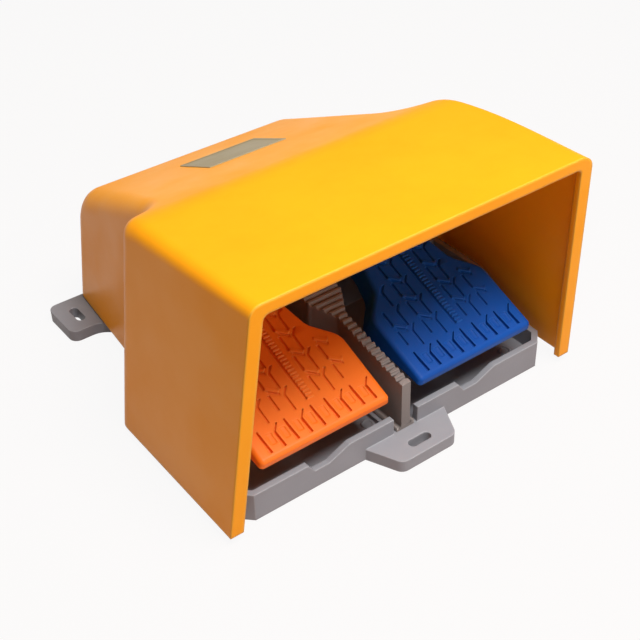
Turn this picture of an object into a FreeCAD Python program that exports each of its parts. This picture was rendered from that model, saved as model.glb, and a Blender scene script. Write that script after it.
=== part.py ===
"""Twin-pedal industrial foot switch with a protective hood, in millimetres.

X runs to the right, Y to the rear and Z up. The origin is the centre of the base's underside.
Each pedal turns on its own axle behind the foot space, and a lever under its hub drives the
plunger of a contact block that stands in the closed rear half of the hood.
"""
import FreeCAD, Part
import Sketcher
import math
import os

SIZES = [
    # base tray
    ("base_width", 230.0),
    ("base_length", 240.0),
    ("floor_thick", 5.0),
    ("wall_thick", 4.0),
    ("front_wall_top", 19.0),
    ("side_wall_top", 40.0),
    ("side_rise_start", 16.0),
    ("side_rise_end", 60.0),
    ("corner_cut", 8.3),
    ("wide_length", 108.0),
    ("tail_width_front", 178.0),
    ("tail_width_rear", 158.0),
    ("rear_ledge", 8.0),
    ("strip_width", 18.0),
    ("strip_top", 8.0),
    ("notch_width", 29.0),
    ("notch_depth", 6.3),
    ("notch_round", 4.0),
    ("notch_flank", 4.4),
    ("notch_flat", 14.5),
    ("well_mark_radius", 4.0),
    ("well_mark_bore", 2.8),
    ("well_mark_rise", 0.6),
    ("well_mark_side", 42.0),
    ("well_mark_back", 18.6),
    # fastening tabs
    ("tab_thick", 8.0),
    ("front_tab_root", 60.0),
    ("front_tab_tip", 40.0),
    ("front_tab_reach", 22.0),
    ("rear_tab_reach", 112.0),
    ("rear_tab_length", 36.0),
    ("rear_tab_flare", 15.0),
    ("tab_round", 6.0),
    ("slot_length", 16.0),
    ("slot_width", 6.0),
    ("front_slot_out", 12.6),
    ("rear_slot_x", 99.3),
    ("rear_slot_y", 101.3),
    # pedals
    ("pedal_spacing", 111.2),
    ("pedal_width", 88.0),
    ("pedal_reach", 131.2),
    ("pedal_slope", 21.5),
    ("pedal_travel", 8.0),
    ("tread_rise", 14.8),
    ("tread_thick", 4.0),
    ("lip_depth", 5.0),
    ("skirt_depth", 14.0),
    ("skirt_thick", 3.0),
    ("skirt_draft", 10.0),
    ("shoulder_back", 82.2),
    ("neck_start", 67.2),
    ("neck_width", 60.0),
    ("neck_rear_back", 50.2),
    ("neck_rear_width", 52.0),
    ("waist_width", 38.0),
    ("front_corner", 3.0),
    ("shoulder_round", 14.0),
    ("neck_round", 18.0),
    ("lip_slope", 46.0),
    ("lip_round", 3.0),
    ("waist_start", 21.2),
    ("pedal_rib", 3.0),
    ("pedal_rib_side", 17.0),
    # hinge
    ("axle_y", 8.0),
    ("axle_z", 72.0),
    ("axle_radius", 4.0),
    ("bush_radius", 5.0),
    ("bush_length", 10.0),
    ("bush_flange_radius", 7.0),
    ("bush_flange_thick", 1.0),
    ("hub_radius", 8.0),
    ("post_gap", 46.0),
    ("post_thick", 5.0),
    ("post_top_half", 8.0),
    ("post_foot_half", 20.0),
    ("running_gap", 0.05),
    ("seat_gap", 0.02),
    ("side_play", 0.4),
    ("clear_gap", 0.3),
    ("hole_gap", 0.2),
    ("clip_radius", 6.5),
    ("clip_thick", 0.8),
    ("clip_groove_depth", 0.7),
    ("clip_gap", 0.1),
    ("clip_mouth", 0.7),
    ("axle_end", 2.0),
    # lever and torsion spring
    ("lever_side", 10.0),
    ("lever_width", 8.0),
    ("lever_half", 5.0),
    ("lever_arm", 30.0),
    ("lever_tail", 6.0),
    ("spring_side", 6.0),
    ("spring_radius", 9.5),
    ("spring_wire", 1.0),
    ("spring_pitch", 2.3),
    ("spring_turns", 4.0),
    ("spring_leg_up", 26.0),
    ("spring_leg_down", 32.0),
    ("rib_top", 46.0),
    # stop bumpers
    ("bumper_back", 72.0),
    ("bumper_radius", 6.0),
    ("bumper_stem_radius", 2.5),
    ("bumper_stem", 6.0),
    # contact blocks
    ("block_width", 22.0),
    ("block_length", 46.0),
    ("block_height", 40.0),
    ("block_wall", 2.5),
    ("block_rear_wall", 6.0),
    ("block_cover", 2.0),
    ("block_ear", 7.0),
    ("block_ear_thick", 5.0),
    ("block_ear_length", 12.0),
    ("block_pillar", 6.0),
    ("cover_screw_length", 4.5),
    ("ear_screw_length", 14.0),
    ("ear_head_radius", 3.3),
    ("strip_offset", 4.0),
    ("tail_length", 17.0),
    ("plunger_ratio", 30.0),
    ("block_screw_radius", 2.0),
    ("seat_rib_front", 7.0),
    ("seat_rib_rear", 34.0),
    ("plunger_radius", 3.0),
    ("plunger_head", 7.0),
    ("plunger_tail_radius", 2.0),
    ("bridge_back", 16.5),
    ("bridge_thick", 1.2),
    ("bridge_half", 13.0),
    ("bridge_width", 12.0),
    ("button_radius", 2.0),
    ("button_rise", 0.6),
    ("button_height", 10.5),
    ("strip_thick", 0.8),
    ("strip_wide", 5.0),
    ("terminal_screw_radius", 1.5),
    ("terminal_head_radius", 2.75),
    ("terminal_head", 2.2),
    ("terminal_screw_length", 4.0),
    ("coil_wire", 0.5),
    ("coil_radius", 3.1),
    ("coil_turns", 6.0),
    # cable gland
    ("gland_height", 24.0),
    ("gland_bore_radius", 10.15),
    ("gland_thread_radius", 10.0),
    ("gland_hex", 24.0),
    ("gland_hex_length", 6.0),
    ("gland_cap_length", 15.0),
    ("gland_nut_thick", 4.0),
    ("gland_seal", 1.5),
    ("gland_cap_lip", 3.0),
    ("cable_radius", 5.5),
    # divider
    ("divider_foot", 6.4),
    ("divider_front_top", 41.8),
    ("divider_slope", 13.5),
    ("divider_length", 100.0),
    ("head_start", 60.0),
    ("head_width", 25.0),
    ("head_full", 77.0),
    ("divider_screw_length", 12.0),
    ("tooth_pitch", 4.4),
    ("tooth_gap", 1.3),
    ("tooth_depth", 1.9),
    ("foot_flange", 13.0),
    ("foot_flange_rise", 3.0),
    ("divider_screw_front", 30.0),
    ("divider_screw_rear", 85.0),
    # hood
    ("hood_bottom", 5.3),
    ("hood_plane", 159.0),
    ("hood_half_low", 127.7),
    ("hood_half_high", 112.7),
    ("hood_front_low", 127.4),
    ("hood_front_high", 140.3),
    ("hood_wide_rear_low", -7.0),
    ("hood_wide_rear_high", -18.0),
    ("hood_step_in", 29.7),
    ("hood_step_back", 9.5),
    ("hood_tail_in", 11.7),
    ("hood_tail_back", 124.5),
    ("hood_step_shrink", 0.83),
    ("hood_tail_shrink", 0.92),
    ("hood_wall", 3.5),
    ("rim_thick", 7.5),
    ("rim_depth", 4.0),
    ("mouth_round", 4.0),
    ("hood_screw_length", 21.0),
    ("ridge_y", -26.0),
    ("ridge_z", 149.0),
    ("roof_fall", 0.42),
    ("ridge_round", 60.0),
    ("rear_round", 34.0),
    ("hood_corner_round", 12.0),
    ("hood_inner_corner", 22.0),
    ("side_corner_move", 0.73),
    ("waist_move_in", 0.934),
    ("waist_move_back", 0.751),
    ("rear_corner_move", 0.91),
    ("hood_edge_front", 7.0),
    ("hood_edge_rear", 14.0),
    ("hood_core_edge", 7.0),
    ("tail_lift", 4.0),
    ("hood_foot_round", 12.0),
    ("lug_height", 12.0),
    ("lug_length", 14.0),
    ("lug_front_y", 42.0),
    ("lug_rear_y", 98.0),
    ("boss_radius", 6.5),
    ("boss_inset", 8.5),
    ("screw_radius", 2.0),
    ("screw_head_radius", 4.0),
    ("screw_head", 3.0),
    ("counterbore_depth", 28.0),
    # blank plate
    ("plate_width", 56.0),
    ("plate_length", 40.0),
    ("plate_thick", 1.0),
    ("plate_start", 57.0),
]

LEFT, RIGHT = -1, 1
SIDES = {LEFT: "left", RIGHT: "right"}
QUARTER_TURN = 90
HEX_HALF_ANGLE = 30
DOME_FOOT = 30  # how far below its middle a bumper's dome reaches, in degrees
LOW_SHARE = 0.72  # roof edges below this share of the ridge are fully rounded
NOTCH_SHARE = 2 / 3  # half width of the notch round the gland, as a share of its hexagon
WELL_PAST = 10  # a cut that has to clear everything is this many times as long

doc = FreeCAD.newDocument("foot_switch")
sheet = doc.addObject("Spreadsheet::Sheet", "Sizes")
for row, (alias, number) in enumerate(SIZES, 1):
    sheet.set("A%d" % row, alias)
    sheet.set("B%d" % row, str(number))
    sheet.setAlias("B%d" % row, alias)
doc.recompute()


class Measure:
    """A size with the formula that binds it to the sheet and its present number."""

    def __init__(self, formula, number):
        self.formula = formula
        self.number = number

    def __add__(self, other):
        other = measure(other)
        return Measure("(%s + %s)" % (self.formula, other.formula), self.number + other.number)

    def __sub__(self, other):
        other = measure(other)
        return Measure("(%s - %s)" % (self.formula, other.formula), self.number - other.number)

    def __mul__(self, other):
        other = measure(other)
        return Measure("%s * %s" % (self.formula, other.formula), self.number * other.number)

    def __truediv__(self, other):
        other = measure(other)
        return Measure("(%s / %s)" % (self.formula, other.formula), self.number / other.number)

    def __neg__(self):
        return Measure("(0 - %s)" % self.formula, -self.number)

    def __radd__(self, other):
        return measure(other) + self

    def __rsub__(self, other):
        return measure(other) - self

    def __rmul__(self, other):
        return measure(other) * self

    def __float__(self):
        return float(self.number)


def measure(value):
    return value if isinstance(value, Measure) else Measure("(%r)" % float(value), float(value))


def cosine(angle):
    return Measure("cos(%s)" % angle.formula, math.cos(math.radians(angle.number)))


def sine(angle):
    return Measure("sin(%s)" % angle.formula, math.sin(math.radians(angle.number)))


def tangent(angle):
    return Measure("tan(%s)" % angle.formula, math.tan(math.radians(angle.number)))


def root(number):
    return measure(math.sqrt(number))


class Cells:
    """Each size of the sheet as an attribute."""


S = Cells()
for alias, number in SIZES:
    setattr(S, alias, Measure("Sizes.%s" % alias, number))


# Places that several pieces share
half_base = S.base_width / 2
front_y = -(S.base_length / 2)
rear_y = S.base_length / 2
wide_rear_y = front_y + S.wide_length
rear_wall_y = rear_y - S.rear_ledge
strip_half = S.strip_width / 2
pedal_x = S.pedal_spacing / 2
block_x = pedal_x - S.lever_side
block_front_y = S.axle_y + S.lever_half + S.clear_gap + S.plunger_head
block_rear_y = block_front_y + S.block_length
plunger_z = S.axle_z - S.lever_arm
block_bottom = plunger_z - S.block_height / 2
post_outer = S.post_gap / 2 + S.post_thick
hub_half = S.post_gap / 2 - S.side_play - S.bush_flange_thick
stop_rib_rear = S.axle_y - S.lever_half - S.clear_gap
stop_rib_front = S.axle_y - S.spring_radius + S.spring_wire + S.clear_gap
roof_front_slope = (S.hood_plane - S.ridge_z) / (S.ridge_y + S.hood_front_high)


def bind(thing, name, value):
    thing.setExpression(name, measure(value).formula)


def body(label):
    thing = doc.addObject("PartDesign::Body", label)
    thing.Label = label
    return thing


def sketch(host, name, plane, level=0):
    """A sketch on one of the body's own planes, moved along that plane's normal."""
    drawing = host.newObject("Sketcher::SketchObject", name)
    support = next(f for f in host.Origin.OriginFeatures if f.Role == plane)
    drawing.AttachmentSupport = [(support, "")]
    drawing.MapMode = "FlatFace"
    bind(drawing, "AttachmentOffset.Base.z", level)
    return drawing


def pin_point(drawing, geometry, end, x, y):
    """Holds a point of the sketch at x, y with distances bound to the sheet."""
    for kind, value in (("DistanceX", x), ("DistanceY", y)):
        value = measure(value)
        index = drawing.addConstraint(Sketcher.Constraint(kind, -1, 1, geometry, end, value.number))
        drawing.setExpression("Constraints[%d]" % index, value.formula)


def polygon(drawing, points):
    corners = [FreeCAD.Vector(float(x), float(y), 0) for x, y in points]
    first = drawing.GeometryCount
    count = len(corners)
    for i in range(count):
        drawing.addGeometry(Part.LineSegment(corners[i], corners[(i + 1) % count]))
    for i in range(count):
        drawing.addConstraint(Sketcher.Constraint("Coincident", first + i, 2, first + (i + 1) % count, 1))
    for i, (x, y) in enumerate(points):
        pin_point(drawing, first + i, 1, x, y)


def rectangle(drawing, x_low, x_high, y_low, y_high):
    polygon(drawing, [(x_low, y_low), (x_high, y_low), (x_high, y_high), (x_low, y_high)])


def circle(drawing, x, y, radius):
    centre = FreeCAD.Vector(float(x), float(y), 0)
    index = drawing.addGeometry(Part.Circle(centre, FreeCAD.Vector(0, 0, 1), float(radius)))
    pin_point(drawing, index, 3, x, y)
    ring = drawing.addConstraint(Sketcher.Constraint("Radius", index, float(radius)))
    drawing.setExpression("Constraints[%d]" % ring, measure(radius).formula)


def slot(drawing, x, y, length, width, along):
    """A round-ended slot; along is (1, 0) for X and (0, 1) for Y."""
    reach = (length - width) / 2
    radius = width / 2
    ax, ay = along
    start = drawing.GeometryCount
    up = FreeCAD.Vector(0, 0, 1)
    ends = [(x + reach * ax, y + reach * ay, 0), (x - reach * ax, y - reach * ay, math.pi)]
    turn = 0 if ax else math.pi / 2
    for cx, cy, half_turn in ends:
        ring = Part.Circle(FreeCAD.Vector(float(cx), float(cy), 0), up, float(radius))
        low = turn + half_turn - math.pi / 2
        drawing.addGeometry(Part.ArcOfCircle(ring, low, low + math.pi))
    arcs = [drawing.Geometry[start], drawing.Geometry[start + 1]]
    drawing.addGeometry(Part.LineSegment(arcs[0].EndPoint, arcs[1].StartPoint))
    drawing.addGeometry(Part.LineSegment(arcs[1].EndPoint, arcs[0].StartPoint))
    for a, a_end, b, b_end in ((0, 2, 2, 1), (2, 2, 1, 1), (1, 2, 3, 1), (3, 2, 0, 1)):
        drawing.addConstraint(Sketcher.Constraint("Tangent", start + a, a_end, start + b, b_end))
    for arc, (cx, cy, half_turn) in enumerate(ends):
        pin_point(drawing, start + arc, 3, cx, cy)
    ring = drawing.addConstraint(Sketcher.Constraint("Radius", start, float(radius)))
    drawing.setExpression("Constraints[%d]" % ring, measure(radius).formula)


def mirrored(right_half):
    """The closed outline whose right half is given from front to rear."""
    return right_half + [(-x, y) for x, y in reversed(right_half)]


def pad(host, drawing, length, backward=False, both=False, taper=None):
    feature = host.newObject("PartDesign::Pad", drawing.Name + "_pad")
    feature.Profile = drawing
    bind(feature, "Length", length)
    feature.Reversed = backward
    if both:
        feature.SideType = "Symmetric"
    if taper is not None:
        bind(feature, "TaperAngle", taper)
    doc.recompute()
    return feature


def pocket(host, drawing, depth, backward=False, both=False):
    """A cut against the sketch's normal, or along it when backward, that must remove material."""
    before = host.Shape.Volume
    feature = host.newObject("PartDesign::Pocket", drawing.Name + "_cut")
    feature.Profile = drawing
    bind(feature, "Length", depth)
    feature.Reversed = backward
    if both:
        feature.SideType = "Symmetric"
    doc.recompute()
    if not host.Shape.Volume < before - 0.001:
        raise RuntimeError("%s cuts nothing" % feature.Name)
    return feature


def edges_where(shape, test):
    return ["Edge%d" % (i + 1) for i, edge in enumerate(shape.Edges) if test(edge)]


def ends_of(edge):
    return edge.Vertexes[0].Point, edge.Vertexes[-1].Point


def runs_along(edge, axis, tolerance=0.01):
    """True for a straight edge along one axis, named by its index."""
    if len(edge.Vertexes) < 2 or edge.Curve.TypeId != "Part::GeomLine":
        return False
    start, end = ends_of(edge)
    off = [abs(end[i] - start[i]) for i in range(3) if i != axis]
    return max(off) < tolerance


def round_edges(host, name, radius, test):
    """Rounds the edges of the body that the test picks; at least one must be there."""
    base = host.Tip
    names = edges_where(base.Shape, test)
    if not names:
        raise RuntimeError("%s finds no edge" % name)
    feature = host.newObject("PartDesign::Fillet", name)
    feature.Base = (base, names)
    bind(feature, "Radius", radius)
    doc.recompute()
    return feature


def fused(name, pieces):
    thing = doc.addObject("Part::MultiFuse", name)
    thing.Shapes = list(pieces)
    return thing


def gathered(name, pieces):
    """Identical separate solids kept together under one name."""
    thing = doc.addObject("Part::Compound", name)
    thing.Links = list(pieces)
    return thing


def cut(name, base, tool):
    thing = doc.addObject("Part::Cut", name)
    thing.Base = base
    thing.Tool = tool
    return thing


def place(thing, x, y, z, rotation=None):
    """Puts a thing at x, y, z, turned as the rotation says."""
    if rotation is not None:
        thing.Placement = FreeCAD.Placement(FreeCAD.Vector(), rotation)
    for axis, value in zip("xyz", (x, y, z)):
        bind(thing, "Placement.Base.%s" % axis, value)
    return thing


def box(name, x_low, x_high, y_low, y_high, z_low, z_high):
    thing = doc.addObject("Part::Box", name)
    bind(thing, "Length", x_high - x_low)
    bind(thing, "Width", y_high - y_low)
    bind(thing, "Height", z_high - z_low)
    return place(thing, x_low, y_low, z_low)


X_AXIS = FreeCAD.Vector(1, 0, 0)
Y_AXIS = FreeCAD.Vector(0, 1, 0)
Z_AXIS = FreeCAD.Vector(0, 0, 1)
# The turn that lays the local Z along each axis
ALONG = {
    "x": FreeCAD.Rotation(Z_AXIS, X_AXIS),
    "y": FreeCAD.Rotation(Z_AXIS, Y_AXIS),
    "z": FreeCAD.Rotation(),
}


def rod(name, radius, length, x, y, z, axis="z"):
    """A cylinder that starts at x, y, z and runs along the axis."""
    thing = doc.addObject("Part::Cylinder", name)
    bind(thing, "Radius", radius)
    bind(thing, "Height", length)
    return place(thing, x, y, z, ALONG[axis])


# Sketch directions of a profile that is turned about each axis
TURNED_PLANE = {
    "x": FreeCAD.Rotation(X_AXIS, Y_AXIS, Z_AXIS, "ZXY"),
    "y": FreeCAD.Rotation(Y_AXIS, Z_AXIS, X_AXIS, "ZXY"),
    "z": FreeCAD.Rotation(Z_AXIS, X_AXIS, Y_AXIS, "ZXY"),
}
DIRECTION = {"x": X_AXIS, "y": Y_AXIS, "z": Z_AXIS}


def turned(name, axis, origin, profile):
    """A solid of revolution; the profile is a list of (place along the axis, radius)."""
    drawing = doc.addObject("Sketcher::SketchObject", name + "_profile")
    place(drawing, *origin, TURNED_PLANE[axis])
    polygon(drawing, profile)
    thing = doc.addObject("Part::Revolution", name)
    thing.Source = drawing
    thing.Axis = DIRECTION[axis]
    for letter, value in zip("xyz", origin):
        bind(thing, "Base.%s" % letter, value)
    thing.Solid = True
    return thing


def lies_at(edge, x=None, y=None, z=None, tolerance=0.05):
    """True when the middle of an edge lies at the places that are given."""
    middle = edge.CenterOfMass
    places = ((x, middle.x), (y, middle.y), (z, middle.z))
    return all(want is None or abs(float(want) - got) < tolerance for want, got in places)


# Plan of the base's narrow rear part

def tail_half(y):
    """Half width of the base at a place along its narrow rear part."""
    fall = (S.tail_width_front - S.tail_width_rear) / 2
    return S.tail_width_front / 2 - fall * (y - wide_rear_y) / (rear_y - wide_rear_y)


def base_outline(inset, rear):
    """Right half of the base's plan, moved inwards by inset and ending at rear."""
    wide = half_base - inset
    cut_size = S.corner_cut - inset * (2 - root(2))
    front = front_y + inset
    waist = wide_rear_y - inset
    return [
        (wide - cut_size, front),
        (wide, front + cut_size),
        (wide, waist),
        (tail_half(waist + S.wall_thick) - inset, waist + S.wall_thick),
        (tail_half(rear) - inset, rear),
    ]


def pressed_point(forward, rise):
    """World Y and Z of a point of the pedal when the pedal is pressed right down."""
    angle = S.pedal_slope + S.pedal_travel
    y = S.axle_y - forward * cosine(angle) - rise * sine(angle)
    z = S.axle_z - forward * sine(angle) + rise * cosine(angle)
    return y, z


def bumper_centre():
    """World Y and Z of the dome of a stop bumper, just clear of the pressed pedal's rib."""
    angle = S.pedal_slope + S.pedal_travel
    y, z = pressed_point(S.bumper_back, S.tread_rise - S.skirt_depth)
    reach = S.bumper_radius + S.clear_gap
    return y + reach * sine(angle), z - reach * cosine(angle)


def hood_boss_place(side, y):
    return side * (tail_half(y) - S.boss_inset), y


divider_screw_ys = [front_y + S.divider_screw_front, front_y + S.divider_screw_rear]
bumper_seat = bumper_centre()[1] - S.bumper_radius / 2


def base_tub():
    """The pressed tub: floor, walls, centre strip, notches, tabs and well rings."""
    tub = body("tray_tub")
    floor = sketch(tub, "tray_floor", "XY_Plane")
    polygon(floor, mirrored(base_outline(measure(0), rear_y)))
    pad(tub, floor, S.floor_thick)
    walls = sketch(tub, "tray_walls", "XY_Plane")
    polygon(walls, mirrored(base_outline(measure(0), rear_wall_y)))
    pad(tub, walls, S.side_wall_top)

    inner = base_outline(S.wall_thick, rear_wall_y - S.wall_thick)
    strip_end = front_y + S.divider_length + S.wall_thick
    well_front = front_y + S.wall_thick
    hollow = sketch(tub, "tray_hollow", "XY_Plane", S.floor_thick)
    polygon(hollow, mirrored([(strip_half, strip_end), (strip_half, well_front)] + inner))
    pocket(tub, hollow, S.side_wall_top, backward=True)

    above = S.side_wall_top + S.wall_thick
    rise = sketch(tub, "side_rise", "YZ_Plane")
    polygon(rise, [
        (front_y - S.wall_thick, S.front_wall_top),
        (front_y + S.side_rise_start, S.front_wall_top),
        (front_y + S.side_rise_end, S.side_wall_top),
        (front_y + S.side_rise_end, above),
        (front_y - S.wall_thick, above),
    ])
    pocket(tub, rise, S.base_width + S.wall_thick, both=True)
    round_edges(tub, "side_rise_round", S.side_rise_start, lambda edge: runs_along(edge, 0) and (
        lies_at(edge, y=front_y + S.side_rise_start, z=S.front_wall_top)
        or lies_at(edge, y=front_y + S.side_rise_end, z=S.side_wall_top)))

    strip = sketch(tub, "centre_strip", "XY_Plane", S.strip_top)
    rectangle(strip, -strip_half, strip_half, front_y - S.wall_thick, strip_end)
    pocket(tub, strip, S.side_wall_top, backward=True)
    notches(tub)
    tabs(tub)
    rings = sketch(tub, "well_rings", "XY_Plane", S.floor_thick)
    for side in SIDES:
        for radius in (S.well_mark_radius, S.well_mark_bore):
            circle(rings, side * pedal_x + S.well_mark_side, front_y + S.well_mark_back, radius)
    pad(tub, rings, S.well_mark_rise)
    return tub


def notches(tub):
    """The scooped dips in the front wall, steep to the left and easy to the right."""
    low = S.front_wall_top - S.notch_depth
    above = S.front_wall_top + S.wall_thick
    dips = sketch(tub, "notches", "XZ_Plane", S.wall_thick - front_y)
    soft_edges = []
    for side in SIDES:
        left = side * pedal_x - S.notch_width / 2
        right = left + S.notch_width
        polygon(dips, [
            (left, above),
            (left, S.front_wall_top),
            (left + S.notch_flank, low),
            (left + S.notch_flat, low),
            (right, S.front_wall_top),
            (right, above),
        ])
        soft_edges += [(left + S.notch_flat, low), (right, S.front_wall_top)]
    pocket(tub, dips, S.wall_thick * 2 + S.clear_gap)
    round_edges(tub, "notch_rounds", S.notch_round, lambda edge: runs_along(edge, 1) and any(
        lies_at(edge, x=x, z=z) for x, z in soft_edges))


def tabs(tub):
    """The three slotted ears by which the base is fastened."""
    ears = sketch(tub, "tabs", "XY_Plane")
    tip_y = front_y - S.front_tab_reach
    polygon(ears, mirrored([
        (S.front_tab_tip / 2, tip_y),
        (S.front_tab_root / 2, front_y),
        (S.front_tab_root / 2, front_y + S.wall_thick),
    ]))
    start_y = rear_y - S.rear_tab_length
    for side in SIDES:
        inner = side * (S.tail_width_rear / 2 - S.wall_thick)
        outer = side * S.rear_tab_reach
        polygon(ears, [(inner, start_y), (outer, start_y), (outer, rear_y), (inner, rear_y)])
    pad(tub, ears, S.tab_thick)
    round_edges(tub, "tab_corners", S.tab_round, lambda edge: runs_along(edge, 2) and (
        abs(abs(edge.CenterOfMass.x) - float(S.rear_tab_reach)) < 0.05 or lies_at(edge, y=tip_y)))
    round_edges(tub, "tab_flare", S.rear_tab_flare, lambda edge: runs_along(edge, 2) and (
        lies_at(edge, y=start_y) and abs(abs(edge.CenterOfMass.x) - float(tail_half(start_y))) < 0.05))
    slots = sketch(tub, "tab_slots", "XY_Plane")
    slot(slots, measure(0), front_y - S.front_slot_out, S.slot_length, S.slot_width, (1, 0))
    for side in SIDES:
        slot(slots, side * S.rear_slot_x, S.rear_slot_y, S.slot_length, S.slot_width, (0, 1))
    pocket(tub, slots, S.tab_thick * 2, both=True)


def drawn_plate(name, plane, level, depth, points):
    """A body with one padded outline."""
    plate = body(name)
    outline = sketch(plate, name + "_outline", plane, level)
    polygon(outline, points)
    pad(plate, outline, depth)
    return plate


def hinge_posts():
    """Four tapered posts with round eyes for the axles, and a rib on each side for the lever."""
    pieces = []
    for side in SIDES:
        word = SIDES[side]
        for end in (-1, 1):
            start = side * pedal_x + end * (S.post_gap + S.post_thick) / 2 - S.post_thick / 2
            name = "post_%s%d" % (word, end + 1)
            pieces.append(drawn_plate(name, "YZ_Plane", start, S.post_thick, [
                (S.axle_y - S.post_foot_half, measure(0)),
                (S.axle_y + S.post_foot_half, measure(0)),
                (S.axle_y + S.post_top_half, S.axle_z),
                (S.axle_y - S.post_top_half, S.axle_z),
            ]))
            pieces.append(rod(name + "_eye", S.post_top_half, S.post_thick, start, S.axle_y, S.axle_z, "x"))
        outer = S.post_gap / 2 + S.post_thick
        pieces.append(box("stop_rib_%s" % word, side * pedal_x - outer, side * pedal_x + outer,
                          stop_rib_front, stop_rib_rear, measure(0), S.rib_top))
    return pieces


def ear_places(side):
    """Centres of the two screws that hold a contact block."""
    y = block_front_y + S.block_length / 2
    return [(side * block_x + end * (S.block_width + S.block_ear) / 2, y) for end in (-1, 1)]


def bumper_places(side):
    y, z = bumper_centre()
    return [(side * pedal_x + end * S.pedal_rib_side, y) for end in (-1, 1)]


def base_tray():
    tub = base_tub()
    solids = [tub] + hinge_posts()
    bores = [rod("axle_bore", S.axle_radius + S.running_gap, S.base_width,
                 -half_base, S.axle_y, S.axle_z, "x")]
    for side, word in SIDES.items():
        middle = side * block_x
        half = S.block_width / 2
        for i, back in enumerate((S.seat_rib_front, S.seat_rib_rear)):
            start = block_front_y + back
            solids.append(box("seat_rib_%s%d" % (word, i), middle - half, middle + half,
                              start, start + S.wall_thick, measure(0), block_bottom))
        for i, (x, y) in enumerate(ear_places(side)):
            solids.append(rod("ear_boss_%s%d" % (word, i), S.block_ear / 2, block_bottom, x, y, 0))
            bores.append(rod("ear_bore_%s%d" % (word, i), S.block_screw_radius + S.seat_gap,
                             block_bottom, x, y, S.floor_thick))
        for i, (x, y) in enumerate(bumper_places(side)):
            solids.append(rod("bumper_post_%s%d" % (word, i), S.bumper_radius, bumper_seat, x, y, 0))
            bores.append(rod("bumper_bore_%s%d" % (word, i), S.bumper_stem_radius + S.seat_gap,
                             S.bumper_stem + S.wall_thick, x, y, bumper_seat - S.bumper_stem - S.clear_gap))
        for i, place_y in enumerate((S.lug_front_y, S.lug_rear_y)):
            x, y = hood_boss_place(side, place_y)
            name = "hood_boss_%s%d" % (word, i)
            solids.append(rod(name, S.boss_radius, S.side_wall_top, x, y, 0))
            bores.append(rod(name + "_sink", S.screw_head_radius + S.hole_gap, S.counterbore_depth, x, y, 0))
            bores.append(rod(name + "_bore", S.screw_radius + S.hole_gap, S.base_length, x, y, 0))
    bores.append(rod("gland_bore", S.gland_bore_radius, S.wall_thick * 3,
                     0, rear_wall_y - S.wall_thick * 2, S.gland_height, "y"))
    for i, y in enumerate(divider_screw_ys):
        bores.append(rod("divider_bore%d" % i, S.terminal_screw_radius + S.hole_gap, S.base_length, 0, y, 0))
        bores.append(rod("divider_sink%d" % i, S.terminal_head_radius + S.hole_gap, S.terminal_head, 0, y, 0))
    return cut("base_tray", fused("tray_solid", solids), fused("tray_bores", bores))


def hood_plan(height, inset, front_shift):
    """Right half of the hood's outer plan at a height, moved inwards by inset."""
    part = (height - S.hood_bottom) / (S.hood_plane - S.hood_bottom)
    low_front = (S.hood_half_low, -S.hood_front_low)
    high_front = (S.hood_half_high, -S.hood_front_high)
    low_side = (S.hood_half_low, S.hood_wide_rear_low)
    high_side = (S.hood_half_high, S.hood_wide_rear_high)
    low_waist = (low_side[0] - S.hood_step_in, low_side[1] + S.hood_step_back)
    high_waist = (high_side[0] - S.hood_step_in * S.hood_step_shrink,
                  high_side[1] + S.hood_step_back * S.hood_step_shrink)
    low_rear = (low_waist[0] - S.hood_tail_in, low_waist[1] + S.hood_tail_back)
    high_rear = (high_waist[0] - S.hood_tail_in * S.hood_tail_shrink,
                 high_waist[1] + S.hood_tail_back * S.hood_tail_shrink)
    # How far each sharp corner moves, across and along, for each millimetre of inset
    moves = [(1, 0), (1, S.side_corner_move), (S.waist_move_in, S.waist_move_back),
             (S.rear_corner_move, 1)]
    corners = []
    ends = [(low_front, high_front), (low_side, high_side), (low_waist, high_waist), (low_rear, high_rear)]
    for (low, high), (move_x, move_y) in zip(ends, moves):
        x = low[0] + (high[0] - low[0]) * part - inset * move_x
        y = low[1] + (high[1] - low[1]) * part - inset * move_y
        corners.append((x, y))
    front_x, front_line = corners[0]
    corners[0] = (front_x, front_line + front_shift)
    return corners


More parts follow.
